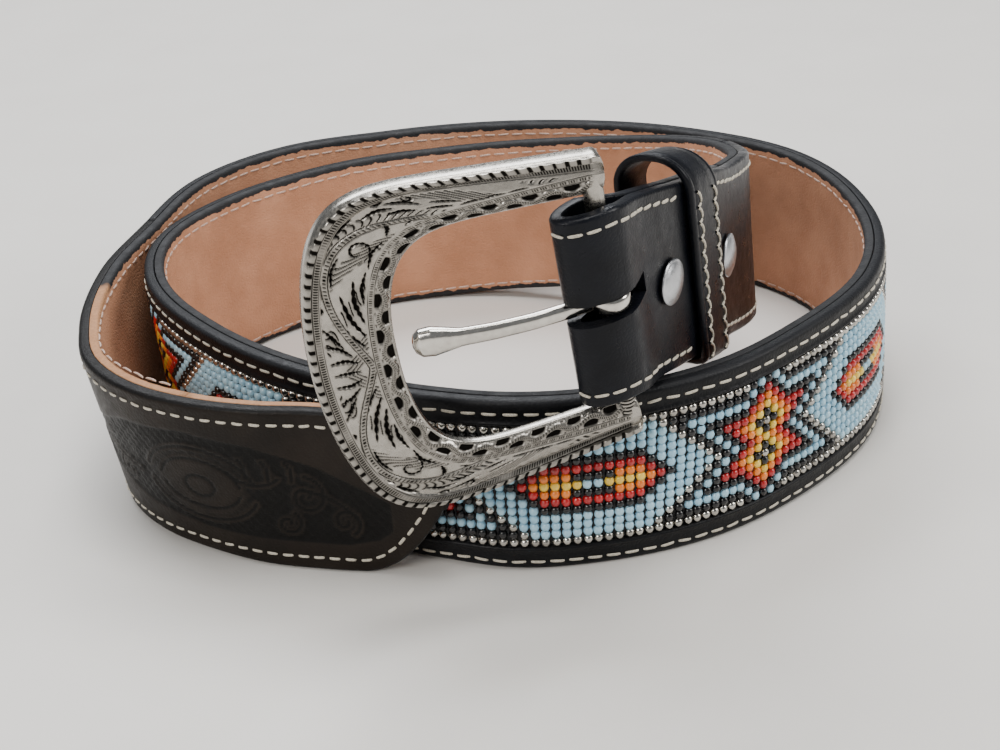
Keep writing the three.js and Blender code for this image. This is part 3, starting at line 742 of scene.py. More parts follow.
def outline_inset(inset):
    """The end's outline moved inwards, from the top edge round the tip to the lower edge."""
    s = np.concatenate([np.arange(FACE_END + 1, BILLET_END - TIP, 2.0),
                        BILLET_END - TIP + TIP * np.linspace(0, 1, 60)])
    half = billet_half(s)
    edge = np.stack([s, end_width(s) / 2 + half], axis=1)
    tangent = unit(np.gradient(edge, axis=0))
    inner = edge + np.stack([tangent[:, 1], -tangent[:, 0]], axis=1) * inset
    middle = float(end_width(BILLET_END)) / 2
    inner = inner[inner[:, 1] > middle + 0.3]
    lower = inner[::-1].copy()
    lower[:, 1] = end_width(lower[:, 0]) - lower[:, 1]
    return np.concatenate([inner, lower])


# Upper and lower border of the tooled panel: length, height over the middle
PANEL_TOP = np.array([(811, 0), (818, 3.2), (832, 8.6), (848, 10.4), (862, 9.0), (875, 5.0), (889, -1.5)])
PANEL_LOW = np.array([(811, 0), (820, -5.0), (834, -9.0), (850, -10.8), (880, -10.8), (886, -9.4),
                      (889, -7.0)])


def stroke(s, h, points, width):
    """Share of a rounded stroke along a polyline of length, height points."""
    best = np.full(np.shape(s), 1e9)
    for (x0, y0), (x1, y1) in zip(points[:-1], points[1:]):
        dx, dy = x1 - x0, y1 - y0
        t = np.clip(((s - x0) * dx + (h - y0) * dy) / (dx * dx + dy * dy), 0, 1)
        best = np.minimum(best, np.hypot(s - x0 - t * dx, h - y0 - t * dy))
    return np.clip(1 - best / width, 0, 1)


def arc(cx, cy, rx, ry, start, end, steps=14, turn=0.0):
    a = np.radians(np.linspace(start, end, steps))
    x, y = rx * np.cos(a), ry * np.sin(a)
    c, d = math.cos(math.radians(turn)), math.sin(math.radians(turn))
    return list(zip(cx + x * c - y * d, cy + x * d + y * c))


def spiral(cx, cy, radius, turns, start, hand=1):
    t = np.linspace(0, 1, 26)
    a = math.radians(start) + hand * 2 * math.pi * turns * t
    r = radius * (1 - 0.86 * t)
    return list(zip(cx + r * np.cos(a), cy + r * np.sin(a)))


MIDDLE = BILLET_WIDTH / 2
FLOWER = (850.0, MIDDLE - 1.5)
# Cut lines of the flower, the leaves and the swirls, each a list of length, height points
CUTS = [arc(*FLOWER, 12.5, 8.8, 15, 165), arc(*FLOWER, 9.2, 6.2, 12, 168), arc(*FLOWER, 12.5, 7.6, 195, 345),
        arc(*FLOWER, 9.0, 5.0, 190, 350), arc(*FLOWER, 3.4, 2.4, 0, 360),
        spiral(872.0, MIDDLE - 1.0, 4.4, 1.3, 90, hand=-1), spiral(879.5, MIDDLE - 6.0, 3.2, 1.2, -60),
        spiral(868.0, MIDDLE - 7.2, 2.8, 1.2, 60, hand=-1), arc(862, MIDDLE + 4.4, 5.5, 3.6, 200, 330),
        arc(874, MIDDLE - 4.5, 8.5, 4.2, 30, 120, turn=-20), arc(826, MIDDLE - 2.0, 6.0, 5.2, 100, 250),
        spiral(829.0, MIDDLE - 4.6, 3.0, 1.2, 120), [(818, MIDDLE - 0.5), (824, MIDDLE), (834, MIDDLE - 2.5)]]
for at in (857.0, 861.5, 866.0):
    CUTS.append(arc(at, MIDDLE + 2.0, 3.2, 5.0, 20, 80, 8, -24))
# The plainer stems on the stretch before the panel
for at in (784.0, 792.0, 800.0):
    CUTS.append(arc(at, MIDDLE + 6.0, 3.4, 8.2, 95, 265, 12, 8))
    CUTS.append(arc(at + 3.0, MIDDLE - 6.0, 3.0, 7.4, -85, 85, 12, 8))
    CUTS.append(spiral(at + 1.5, MIDDLE, 2.6, 1.1, 90))
BASKET_PITCH = 2.2
STEMS_FROM = 776.0
BORDER_DEPTH = 0.32
GROUND_DEPTH = 0.26
BASKET_DEPTH = 0.14
CUT_DEPTH = 0.36


def tooling(s, heights, low, high):
    """Depth of the tooled pattern under the face at one station."""
    h = np.asarray(heights)
    x = np.full(h.shape, s)
    centre = float(end_width(s)) / 2
    top = centre + np.interp(s, PANEL_TOP[:, 0], PANEL_TOP[:, 1])
    bottom = centre + np.interp(s, PANEL_LOW[:, 0], PANEL_LOW[:, 1])
    edge = np.minimum(top - h, h - bottom)
    here = PANEL_TOP[0, 0] < s < PANEL_TOP[-1, 0]
    inside = rising(edge, 0, 0.5) * here
    border = BORDER_DEPTH * np.clip(1 - np.abs(edge) / 0.5, 0, 1) * here
    weave = np.sin(x * 2 * math.pi / BASKET_PITCH) * np.sin((h - centre) * 2 * math.pi / BASKET_PITCH)
    raised, cut = np.zeros_like(h), np.zeros_like(h)
    for line in CUTS:
        nearest = stroke(x, h, line, 1.3)
        raised = np.maximum(raised, nearest)
        cut = np.maximum(cut, rising(nearest, 0.68, 0.32))
    petal = np.clip(1 - np.hypot((x - FLOWER[0]) / 12.8, (h - FLOWER[1]) / 9.0), 0, 1)
    ground = inside * np.clip(1 - 1.9 * np.maximum(raised, 1.6 * petal), 0, 1)
    stems = rising(np.minimum(h - low, high - h), 4.2, 0.6) * (STEMS_FROM < s < PANEL_TOP[0, 0])
    basket = ground * (BASKET_DEPTH * weave - GROUND_DEPTH)
    return basket - border - CUT_DEPTH * cut * np.maximum(inside, stems)


def tip_stations(start, pitch, count):
    """Stations of the end, closer together round its tip."""
    tip = BILLET_END - TIP + TIP * np.linspace(0, 1, count)[1:-1]
    return np.concatenate([lengths_between(start, BILLET_END - TIP, pitch), tip, [BILLET_END - 0.12]])


def billet_low_high(s):
    half = max(float(billet_half(np.array(s))), 1.2)
    centre = float(end_width(s)) / 2
    return centre - half, centre + half


keep(strap_layer("billet_face_leather", tip_stations(FACE_END + BUTT, 0.5, 44), billet_low_high,
                 FACE_INNER - LAYER_GAP / 2, FACE_OUTER, BILLET_ROUND, 70, tooling),
     billet_leather, replaces=("billet_face",))
keep(strap_layer("billet_lining_leather", tip_stations(LINING_END + BUTT, 2.0, 30), billet_low_high,
                 LINING_INNER, LINING_OUTER + LAYER_GAP / 2, LINING_ROUND, 3),
     grey_leather, replaces=("billet_lining",))
stitches("stitches_billet", outline_inset(3.0), BILLET_STITCH, FACE_OUTER + STITCH_OFF, cream_thread,
         share=0.72)


# Tab, fold and slot
SLOT_REACH = 7.0
SLOT_HALF = 3.0 / 2 + 0.6
TAB_PITCH = 2.0
BEND_STEPS = 15


def fold_lift(s):
    return (BEND - (FACE_INNER + FACE_OUTER) / 2) * (1 - smooth(np.asarray(s) / FOLD_RUN))


def tab_rows():
    """Foot, up and out of each station, from the outer layer's end round the bar to the flap's end."""
    rest, flap = (FACE_INNER + FACE_OUTER) / 2, (FLAP_INNER + LINING_OUTER) / 2
    outer = lengths_between(0.0, TAB_END, TAB_PITCH)[::-1]
    foot, up, out, _ = frames(outer)
    outer_foot = foot + out * (rest + fold_lift(outer))[:, None]
    angle = np.linspace(0, math.pi, BEND_STEPS)[1:-1]
    reach = FOLD_REACH - FACE / 2
    beyond, _, front = turned_axes(FOLD_TURN)
    bend_out = unit(front * np.cos(angle)[:, None] / BEND + beyond * np.sin(angle)[:, None] / reach)
    bend_foot = (bar_foot + front * BEND * np.cos(angle)[:, None]
                 + beyond * reach * np.sin(angle)[:, None])
    inner = lengths_between(0.0, FLAP_END, TAB_PITCH)
    f2, u2, o2, _ = frames(inner)
    gone = 1 - smooth(inner / FOLD_RUN)
    inner_foot = f2 + o2 * (flap + (-BEND - flap) * gone)[:, None]
    feet = np.concatenate([outer_foot, bend_foot, inner_foot])
    ups = np.concatenate([up, np.repeat(bar_up[None], len(angle), axis=0), u2])
    outs = np.concatenate([out, bend_out, -o2])
    return feet, ups, outs


def tab_piece():
    """The tab's folded strip with the prong's slot cut through the fold."""
    feet, ups, outs = (rows[:, None] for rows in tab_rows())
    h, o = ring_profile(0, STRAP_WIDTH, -FACE / 2, FACE / 2, *TAB_ROUND, 9)
    obj = loft("tab_leather", (feet + ups * h[None, :, None] + outs * o[None, :, None] + GROUP_SHIFT) * MM)
    behind = FOLD_REACH + 1
    cut = np.array([[x, y, z] for x in (-behind, SLOT_REACH) for y in (-SLOT_HALF, SLOT_HALF)
                    for z in (-2 * behind, 2 * behind)])
    axes = np.stack([flat_along, bar_up, unit(np.cross(flat_along, bar_up))])
    corners = (cut @ axes + bar_middle + GROUP_SHIFT) * MM
    faces = [(0, 1, 3, 2), (4, 6, 7, 5), (0, 4, 5, 1), (2, 3, 7, 6), (0, 2, 6, 4), (1, 5, 7, 3)]
    cutter = outward(make_mesh("slot_cutter", corners, faces))
    change = obj.modifiers.new("slot", "BOOLEAN")
    change.operation = "DIFFERENCE"
    change.solver = "EXACT"
    change.object = cutter
    bpy.context.view_layer.update()
    done = bpy.data.meshes.new_from_object(obj.evaluated_get(bpy.context.evaluated_depsgraph_get()))
    obj.modifiers.clear()
    obj.data = done
    bpy.data.objects.remove(cutter)
    for polygon in done.polygons:
        polygon.use_smooth = True
    done.set_sharp_from_angle(angle=math.radians(40))
    return obj


keep(tab_piece(), tab_leather, replaces=("buckle_tab",))


TAB_INSET = 2.7


def fold_stitches(name, height):
    """Stitches that run on from the flat of the tab over the front of its bend."""
    first = len(lengths_between(0.0, TAB_END, TAB_PITCH)) - 1
    feet, ups, outs = (rows[first:first + 10] for rows in tab_rows())
    surface = feet + ups * height + outs * (FACE / 2 + 0.02)
    d = lengths_along(surface)
    at = np.arange(TAB_STITCH / 2 - 0.3, d[-1] - TAB_STITCH / 3, TAB_STITCH)
    x = unit(points_at(surface, d, at - AIM) - points_at(surface, d, at + AIM))
    out = points_at(outs, d, at)
    z = unit(out - x * np.sum(out * x, axis=1)[:, None])
    form, faces = stitch_form(TAB_STITCH * 0.8, STITCH_WIDTH)
    centre = (points_at(surface, d, at) + GROUP_SHIFT) * MM
    axes = np.stack([x, np.cross(z, x), z], axis=1) * MM
    return keep(copies(name, form, faces, centre, axes), cream_thread)


fold_stitches("stitches_fold_top", STRAP_WIDTH - TAB_INSET)
fold_stitches("stitches_fold_low", TAB_INSET)


def tab_face(s):
    return FACE_OUTER + fold_lift(s) + STITCH_OFF


KEEPER_AT, KEEPER_WIDTH = 33.0, 13.5
KEEPER = (KEEPER_AT - KEEPER_WIDTH / 2, KEEPER_AT + KEEPER_WIDTH / 2)
hidden = (KEEPER[0] - 1.5, KEEPER[1] + 1.5)
for line, height in (("top", STRAP_WIDTH - TAB_INSET), ("low", TAB_INSET)):
    stitches("stitches_tab_" + line, straight(height, 0.3, TAB_END - 0.5), TAB_STITCH, tab_face,
             cream_thread, slant=0.12, width=0.7, skip=hidden)

# Keeper
KEEPER_THICK = 1.6
KEEPER_FIT = 0.4
KEEPER_BAY = 7.0
KEEPER_CORNER = 6.5
KEEPER_RISE = 3.2


def keeper_outline(depth):
    """Offset and height pairs round the keeper at a depth out from the middle of its wall."""
    front = FACE_OUTER + KEEPER_FIT + KEEPER_THICK / 2
    back = FLAP_INNER - KEEPER_BAY - KEEPER_THICK / 2
    half = STRAP_WIDTH / 2 + KEEPER_FIT + KEEPER_THICK / 2
    pairs = []
    top = half + KEEPER_RISE
    for x, y, radius, start in ((front, top, KEEPER_CORNER, 0), (back, top, KEEPER_CORNER, 90),
                                (back, -half, KEEPER_CORNER, 180), (front, -half, KEEPER_THICK, 270)):
        cx, cy = x - math.copysign(radius, x), y - math.copysign(radius, y)
        for a in np.radians(start + np.linspace(0, 90, 9)):
            pairs.append((cx + (radius + depth) * math.cos(a), cy + (radius + depth) * math.sin(a)))
    pairs.append(pairs[0])
    path = np.array(pairs)
    d = lengths_along(path)
    return points_at(path, d, np.linspace(0, d[-1], 91)[:-1])


keeper_feet, keeper_up, keeper_outs = frames(np.array(KEEPER))[:3]


def keeper_points(share, pairs):
    """Points on the keeper: share runs across its width from one edge to the other."""
    share = np.asarray(share, float)[..., None]
    foot = keeper_feet[0] * (1 - share) + keeper_feet[1] * share
    out = keeper_outs[0] * (1 - share) + keeper_outs[1] * share
    up = keeper_up[0] * (1 - share) + keeper_up[1] * share
    return (foot + out * pairs[..., :1] + up * (STRAP_WIDTH / 2 + pairs[..., 1:2]) + GROUP_SHIFT) * MM


def keeper_piece():
    half = KEEPER_THICK / 2
    # share of the width and depth round the band's section, with a groove along each edge
    section = [(0.0, -0.5), (0.0, 0.45), (0.02, 0.85), (0.06, 1.0), (0.10, 0.98), (0.115, 0.8), (0.13, 0.98),
               (0.3, 1.04), (0.5, 1.06), (0.7, 1.04), (0.87, 0.98), (0.885, 0.8), (0.90, 0.98), (0.94, 1.0),
               (0.98, 0.85), (1.0, 0.45), (1.0, -0.5), (0.96, -1.0), (0.5, -1.0), (0.04, -1.0)]
    rings = []
    for share, depth in section:
        pairs = keeper_outline(depth * half)
        rings.append(keeper_points(np.full(len(pairs), share), pairs))
    points = np.stack(rings, axis=1)
    return loft("keeper_leather", points, closed_rows=True)


keep(keeper_piece(), tab_leather, replaces=("keeper_loop",))


def threads(name, paths, radius, material):
    """Thin round threads along lists of points in metres, all in one mesh."""
    sides = 6
    verts, quads, base = [], [], 0
    for path in paths:
        path = np.asarray(path)
        ahead = unit(np.gradient(path, axis=0))
        side = unit(np.cross(ahead, np.array([0.31, 0.52, 0.79])))
        other = np.cross(ahead, side)
        for i in range(sides):
            a = 2 * math.pi * i / sides
            verts.append(path + (side * math.cos(a) + other * math.sin(a)) * radius * MM)
        n = len(path)
        for i in range(sides):
            k = (i + 1) % sides
            for j in range(n - 1):
                quads.append((base + i * n + j, base + k * n + j, base + k * n + j + 1, base + i * n + j + 1))
        base += sides * n
    return keep(make_mesh(name, np.concatenate(verts), quads), material)


SCALLOP_PITCH = 3.3
SCALLOP_BOW = 0.2
SCALLOP_COLUMNS = (0.2, 0.8)


def keeper_arcs():
    """Scalloped arcs of thread along both edges of the band's front."""
    top = STRAP_WIDTH / 2 + 0.2
    heights = np.arange(-top + 1.6, top - 1.5, SCALLOP_PITCH)
    front = FACE_OUTER + KEEPER_FIT + KEEPER_THICK + 0.05
    a = np.linspace(-1.2, 1.2, 9)
    paths = []
    for column in SCALLOP_COLUMNS:
        for h in heights:
            pair = np.stack([np.full(len(a), front), h + 1.75 * np.sin(a)], axis=1)
            paths.append(keeper_points(column + SCALLOP_BOW * (np.cos(a) - 0.62), pair))
    return paths


threads("keeper_stitches", keeper_arcs(), 0.3, cream_thread)

# Snap caps
CAP_HEIGHT = 19.0
CAP_GAP = 0.3
CAP_SIDES = 40
CAPS = (16.7, 48.0)
# A cap's outline: height over the leather and radius
CAP = [(0.0, 4.1), (0.12, 4.3), (0.42, 4.3), (0.56, 4.18), (0.58, 3.9), (0.66, 3.75), (0.85, 3.4),
       (1.12, 2.7), (1.32, 1.9), (1.45, 1.0), (1.5, 0.3)]


def cap_piece(index, place):
    form, faces = turned_form(CAP, CAP_SIDES)
    _, _, out, along = [v[0] for v in frames([place])]
    base = float(FACE_OUTER + fold_lift(place) + CAP_GAP)
    centre = strap_points([place], [CAP_HEIGHT], [base])
    y = np.cross(out, along)
    verts = (form @ np.stack([out, along, y])) * MM + centre[0]
    rim = np.arange(CAP_SIDES)
    ends = [rim, (len(CAP) - 1) * CAP_SIDES + rim[::-1]]
    obj = outward(make_mesh(f"cap_{index}", verts, faces, ends))
    return keep(obj, cap_metal, replaces=(f"snap_cap_{index}",))


for cap_index, cap_place in enumerate(CAPS, 1):
    cap_piece(cap_index, cap_place)

# Buckle
FRAME_SWING = -36.5
FRAME_LENGTH, FRAME_BAR_HEIGHT, FRAME_FLARE = 53.0, 57.2, 6.3
OPENING_LENGTH, OPENING_HEIGHT, OPENING_FLARE = 37.8, 41.8, 2.4
FRAME_DOME = 2.2
ARM_OVERHANG = 2.0


def placed(axes, local):
    """Points in metres from points along a piece's own axes, in millimetres from the bar's middle."""
    return (np.asarray(local) @ axes + bar_middle + GROUP_SHIFT) * MM


HALF_STOPS = 300


def hoof(length, bar_height, flare, squareness, roundness):
    """Upper half of a horseshoe outline, from the middle of its far end to the bar."""
    i = np.linspace(0, 1, 241)
    u = 1 - i**2
    height = (bar_height / 2 + flare * u) * (1 - u**squareness) ** (1 / roundness)
    path = np.stack([length * u, height], axis=1)
    d = lengths_along(path)
    return points_at(path, d, np.linspace(0, 1, HALF_STOPS) * d[-1])


outer_half = hoof(FRAME_LENGTH, FRAME_BAR_HEIGHT, FRAME_FLARE, 8.5, 1.8)
inner_half = hoof(OPENING_LENGTH, OPENING_HEIGHT, OPENING_FLARE, 7.3, 2.4)


def arm_end():
    """Rounded end of the arm beyond the bar, as pairs of inner and outer points."""
    low, high = inner_half[-1, 1], outer_half[-1, 1]
    centre = (low + high) / 2
    t = np.linspace(0, 1, 15)[1:]
    reach = -ARM_OVERHANG * np.sin(t * math.pi / 2 * 0.98)
    width = np.sqrt(np.clip(1 - (t * 0.985) ** 2.6, 0, 1))
    inner = np.stack([reach, centre + (low - centre) * width], axis=1)
    outer = np.stack([reach, centre + (high - centre) * width], axis=1)
    return inner, outer


end_inner, end_outer = arm_end()
half_inner = np.concatenate([inner_half, end_inner])
half_outer = np.concatenate([outer_half, end_outer])
flip = np.array([1, -1])
inner_line = np.concatenate([(half_inner * flip)[::-1], half_inner[1:]])
outer_line = np.concatenate([(half_outer * flip)[::-1], half_outer[1:]])
mid_line = (inner_line + outer_line) / 2
hoop_d = lengths_along(mid_line)
hoop_d -= hoop_d[-1] / 2
outer_d = lengths_along(outer_line)
hoop_width = np.linalg.norm(outer_line - inner_line, axis=1)

# The dome of the front: share of the way from the opening to the rim, and share of the dome's height
DOME = np.array([(0, 0.1), (0.07, 0.5), (0.24, 0.72), (0.5, 0.85), (0.78, 0.62), (0.84, 0.95), (0.96, 0.95),
                 (1, 0.6)])
ACROSS = np.concatenate([[0, 0.01], np.linspace(0.02, 0.98, 110), [0.99, 1.0]])


def wave(x):
    return np.sin(2 * math.pi * x)


def box_step(x, low, high, soft):
    """1 between two places and 0 beyond them, with soft sides."""
    return rising(x, low, soft) * falling(x, high, soft)


def hatching(phase, start):
    """Fine cuts across a band, one for each whole step of the phase."""
    return rising(np.abs(phase % 1 - 0.5), start, 0.12)


def slot_marks(d, q, marks):
    """Deepest of many tapered cut marks. marks: two ends and a width each, in millimetres."""
    cut = np.zeros(d.shape)
    for x0, y0, x1, y1, width in marks:
        near = (np.abs(d - (x0 + x1) / 2) < abs(x1 - x0) / 2 + width + 0.1)
        if not near.any():
            continue
        dd, qq = d[near], q[near]
        dx, dy = x1 - x0, y1 - y0
        t = np.clip(((dd - x0) * dx + (qq - y0) * dy) / (dx * dx + dy * dy), 0, 1)
        here = width * (0.35 + 0.65 * np.sin(math.pi * np.clip(t * 0.86 + 0.12, 0, 1)))
        gap = np.hypot(dd - x0 - t * dx, qq - y0 - t * dy)
        cut[near] = np.maximum(cut[near], np.clip((here - gap) / 0.16, 0, 1))
    return cut


def curve_marks(points, width, steps=7):
    """Marks that follow a curve of a few points, thinning to both ends."""
    p = np.asarray(points, float)
    t = np.linspace(0, 1, steps)
    d = np.linspace(0, 1, len(p))
    x, y = np.interp(t, d, p[:, 0]), np.interp(t, d, p[:, 1])
    size = width * np.sin(math.pi * (0.12 + 0.76 * (t[:-1] + t[1:]) / 2))
    return [(x[i], y[i], x[i + 1], y[i + 1], size[i]) for i in range(steps - 1)]


def scroll_marks(d, q, radius, hand, start=0.0):
    """A curled volute."""
    t = np.linspace(0, 1, 15)
    a = math.radians(start) + hand * 2 * math.pi * 1.15 * t
    r = radius * (1 - 0.78 * t)
    line = np.stack([d + r * np.cos(a), q + r * np.sin(a)], axis=1)
    return curve_marks(line, 0.36, 15)


# Engraved slots between the vine and the rim, as length along the hoop from its far end's middle,
# distance from the opening, and half width. The other half of the hoop is their mirror image.
SLOTS = [
    ([(0.0, 7.0), (0.0, 11.4)], 0.34), ([(1.7, 6.9), (2.5, 9.0), (2.2, 11.6)], 0.38),
    ([(3.3, 7.7), (4.9, 9.6), (5.4, 11.8)], 0.38), ([(5.0, 8.9), (7.0, 10.4), (8.6, 11.9)], 0.36),
    ([(4.6, 5.2), (7.4, 7.6), (11.2, 9.9)], 0.40), ([(6.8, 4.9), (10.2, 7.0), (14.8, 8.9)], 0.44),
    ([(9.6, 4.8), (13.4, 6.3), (17.8, 7.0)], 0.46), ([(13.4, 4.8), (16.6, 5.3), (19.8, 5.2)], 0.36),
    ([(16.2, 10.4), (18.8, 10.9), (21.4, 10.4)], 0.34), ([(20.6, 5.0), (23.4, 5.5), (26.2, 5.1)], 0.34),
    ([(27.6, 5.4), (29.2, 6.5), (29.4, 8.4)], 0.40), ([(25.6, 9.9), (27.6, 9.7), (28.8, 8.8)], 0.32),
    ([(17.4, 12.6), (20.2, 13.0), (23.0, 12.4)], 0.30), ([(22.2, 13.6), (25.2, 12.6), (28.2, 12.2)], 0.38),
    ([(26.0, 14.0), (29.0, 13.6), (31.6, 12.2)], 0.34), ([(28.8, 10.9), (31.4, 10.6), (33.4, 9.4)], 0.40),
    ([(31.6, 8.8), (33.8, 8.2), (35.6, 7.0)], 0.38), ([(33.4, 11.0), (35.4, 9.8), (37.2, 8.0)], 0.34),
    ([(31.2, 5.0), (33.4, 5.3), (35.4, 5.0)], 0.30), ([(37.0, 6.6), (39.0, 6.0), (41.0, 5.3)], 0.32),
    ([(38.8, 7.8), (40.8, 6.8), (43.0, 5.8)], 0.28), ([(42.0, 5.0), (44.0, 5.1), (46.0, 4.9)], 0.24),
    ([(46.4, 4.9), (48.4, 5.0), (50.4, 4.8)], 0.22), ([(50.8, 4.8), (52.6, 4.8), (54.4, 4.7)], 0.20),
]
# Volutes: centre, radius, turning hand and where each starts, in degrees
VOLUTES = [((23.2, 7.9), 2.5, 1, 200), ((32.6, 12.2), 1.1, -1, 60), ((12.0, 12.2), 0.9, 1, 0),
           ((36.6, 10.0), 0.9, 1, 90)]
RIM_BLOCKS = 76
VINE_WAVES = 8.5
VINE_MIDDLE, VINE_BOW = 1.75, 0.72
ROPE_LENGTH = 36.0
PATINA = 0.8


def engraved_marks():
    marks = []
    for points, width in SLOTS:
        marks += curve_marks(points, width * 1.25)
    for (x, y), radius, hand, start in VOLUTES:
        marks += scroll_marks(x, y, radius, hand, start)
    return marks + [(-x0, y0, -x1, y1, size) for x0, y0, x1, y1, size in marks]


def hoop_relief():
    """Height over the dome in millimetres and how dark each place is, over the hoop's front."""
    d, w, do = (np.repeat(v[:, None], len(ACROSS), axis=1) for v in (hoop_d, hoop_width, outer_d))
    q = ACROSS[None] * w
    relief = np.zeros(d.shape)
    dark = np.zeros(d.shape)

    def sink(mask, depth, tone=1.0):
        nonlocal relief, dark
        relief = relief - depth * mask
        dark = np.maximum(dark, mask * tone)

    # rim of rounded blocks with dark grooves between them
    phase = (do / outer_d[-1] * RIM_BLOCKS) % 1
    rim = box_step(w - q, 0.25, 1.55, 0.12)
    block = np.clip(np.sin(math.pi * phase) ** 0.5, 0, 1)
    relief += rim * (0.42 * block - 0.1)
    dark = np.maximum(dark, rim * falling(np.minimum(phase, 1 - phase), 0.2, 0.05))
    sink(box_step(w - q, 1.5, 1.72, 0.06), 0.2)
    # fine upright cuts inside the rim
    sink(box_step(w - q, 1.75, 2.7, 0.1) * hatching(do / 0.52, 0.2), 0.2)
    sink(box_step(w - q, 2.78, 2.96, 0.06), 0.12, 0.8)
    # wavy vine along the opening, with dark lenses on both sides of it
    swing = wave(d / hoop_d[-1] * VINE_WAVES)
    off = q - VINE_MIDDLE - VINE_BOW * swing
    vine_body = falling(np.abs(off), 0.55, 0.12)
    lens = box_step(q, 0.45, 3.05, 0.15) * rising(np.abs(off), 0.62, 0.14)
    sink(lens * rising(np.abs(swing), 0.28, 0.2), 0.42)
    relief += 0.16 * vine_body
    sink(vine_body * hatching((d + 0.5 * off) / 0.5, 0.22) * falling(np.abs(off), 0.42, 0.08), 0.14, 0.9)
    # straight hatched band between the vine and the leaves
    sink(box_step(q, 3.1, 3.26, 0.06), 0.12, 0.9)
    sink(box_step(q, 3.34, 4.0, 0.08) * hatching(d / 0.5, 0.22), 0.14, 0.9)
    sink(box_step(q, 4.08, 4.24, 0.06), 0.12, 0.9)
    # a hatched rope that swings out from the middle to the rim and back, with engraved slots on both sides
    low, high = 4.35, w - 3.1
    rope = low + 0.4 + (high - low - 0.9) * np.sin(math.pi * np.clip(np.abs(d) / ROPE_LENGTH, 0, 1)) ** 1.4
    wide = falling(np.abs(d), ROPE_LENGTH, 0.8) * (q > low) * (q < high)
    rope_off = np.abs(q - rope)
    rope_body = falling(rope_off, 0.5, 0.1) * wide
    relief += 0.2 * rope_body
    sink(box_step(rope_off, 0.5, 0.74, 0.08) * wide, 0.24)
    sink(rope_body * hatching(d / 0.62, 0.2) * falling(rope_off, 0.36, 0.08), 0.16, 0.9)
    cut = slot_marks(d, q, engraved_marks()) * (q > low + 0.1) * (q < high - 0.1)
    cut *= 1 - wide * falling(rope_off, 0.8, 0.1)
    sink(cut, 0.4)
    # curved shading cuts in patches between the leaves
    along = np.abs(d)
    swirl = 0.75 * along + 1.5 * np.sin(0.8 * q + 0.3 * along)
    shading = rising(np.abs((swirl / 0.95) % 1 - 0.5), 0.3, 0.1)
    shading *= rising(np.sin(0.6 * along + 0.95 * q), 0.15, 0.25) * (q > low + 0.3) * (q < high - 0.3)
    shading *= 1 - wide * falling(rope_off, 0.95, 0.1)
    sink(shading, 0.22, 0.9)
    # dark patina that lingers round every cut
    haze = dark.copy()
    for shift in (1, 2, 3):
        haze = (haze + np.roll(haze, shift, 0) + np.roll(haze, -shift, 0)) / 3
        haze = (haze + np.roll(haze, shift, 1) + np.roll(haze, -shift, 1)) / 3
    dark = np.maximum(dark, np.clip(haze * PATINA, 0, 0.5))
    # nothing is cut where the arms end in a round knuckle
    calm = rising(hoop_d[-1] - np.abs(d), 1.6, 0.6)
    return relief * calm, dark * calm


def placed_loft(name, axes, local, **options):
    return loft(name, placed(axes, local.reshape(-1, 3)).reshape(local.shape), **options)


def buckle_piece():
    relief, dark = hoop_relief()
    a = ACROSS[None, :, None]
    flat = inner_line[:, None] * (1 - a) + outer_line[:, None] * a
    dome = np.interp(ACROSS, DOME[:, 0], DOME[:, 1]) * FRAME_DOME
    fade = np.clip(np.minimum(ACROSS, 1 - ACROSS) / 0.02, 0, 1)
    z = dome[None] + relief * fade[None]
    front = np.concatenate([flat, z[..., None]], axis=-1)
    # back of the hoop, from the rim to the opening, slightly rounded at both edges
    back_rows = [(1.0, 0.3), (1.0, -1.1), (0.985, -1.5), (0.8, -1.5), (0.5, -1.5), (0.2, -1.5), (0.015, -1.5),
                 (0.0, -1.1), (0.0, -0.4)]
    back = []
    for share, level in back_rows:
        p = inner_line * (1 - share) + outer_line * share
        back.append(np.concatenate([p, np.full((len(p), 1), level)], axis=1))
    ring = np.concatenate([front, np.stack(back, axis=1)], axis=1)
    tone = np.concatenate([dark, np.zeros((len(dark), len(back_rows)))], axis=1)
    obj = placed_loft("buckle_hoop", turned_axes(FRAME_SWING), ring, shade=tone)
    return keep(obj, antique_silver, body="buckle", replaces=("buckle_frame",))


buckle_piece()


ROUND_SIDES = 28
BAR_HALF = 24.75
RIDGES_FROM = 18.4
RIDGE_PITCH = 0.75
RIDGE_DEPTH = 0.14


def bar_piece():
    """Round bar with a ridged lower end."""
    y = np.linspace(-BAR_HALF, BAR_HALF, 340)
    ridges = rising(-y, RIDGES_FROM, 0.4) * (0.5 + 0.5 * np.cos(2 * math.pi * y / RIDGE_PITCH))
    radius = (BAR_RADIUS - RIDGE_DEPTH * ridges)[:, None]
    a = circle(ROUND_SIDES)
    local = np.stack([radius * np.cos(a), np.repeat(y[:, None], len(a), 1), radius * np.sin(a)], -1)
    tone = np.repeat(ridges[:, None], len(a), 1)
    obj = placed_loft("buckle_bar", turned_axes(FRAME_SWING), local, shade=tone)
    return keep(obj, antique_silver, body="buckle")


bar_piece()

# Prong
PRONG_LENGTH, PRONG_WIDTH, PRONG_THICK = 35.0, 3.0, 2.2
BULB_WIDTH, BULB_THICK = 5.6, 3.6
EYE_WALL = 1.5
PRONG_SWING = -5.0
PRONG_START = 0.085
BOW_SPREAD = 14
SQUARENESS = 0.82
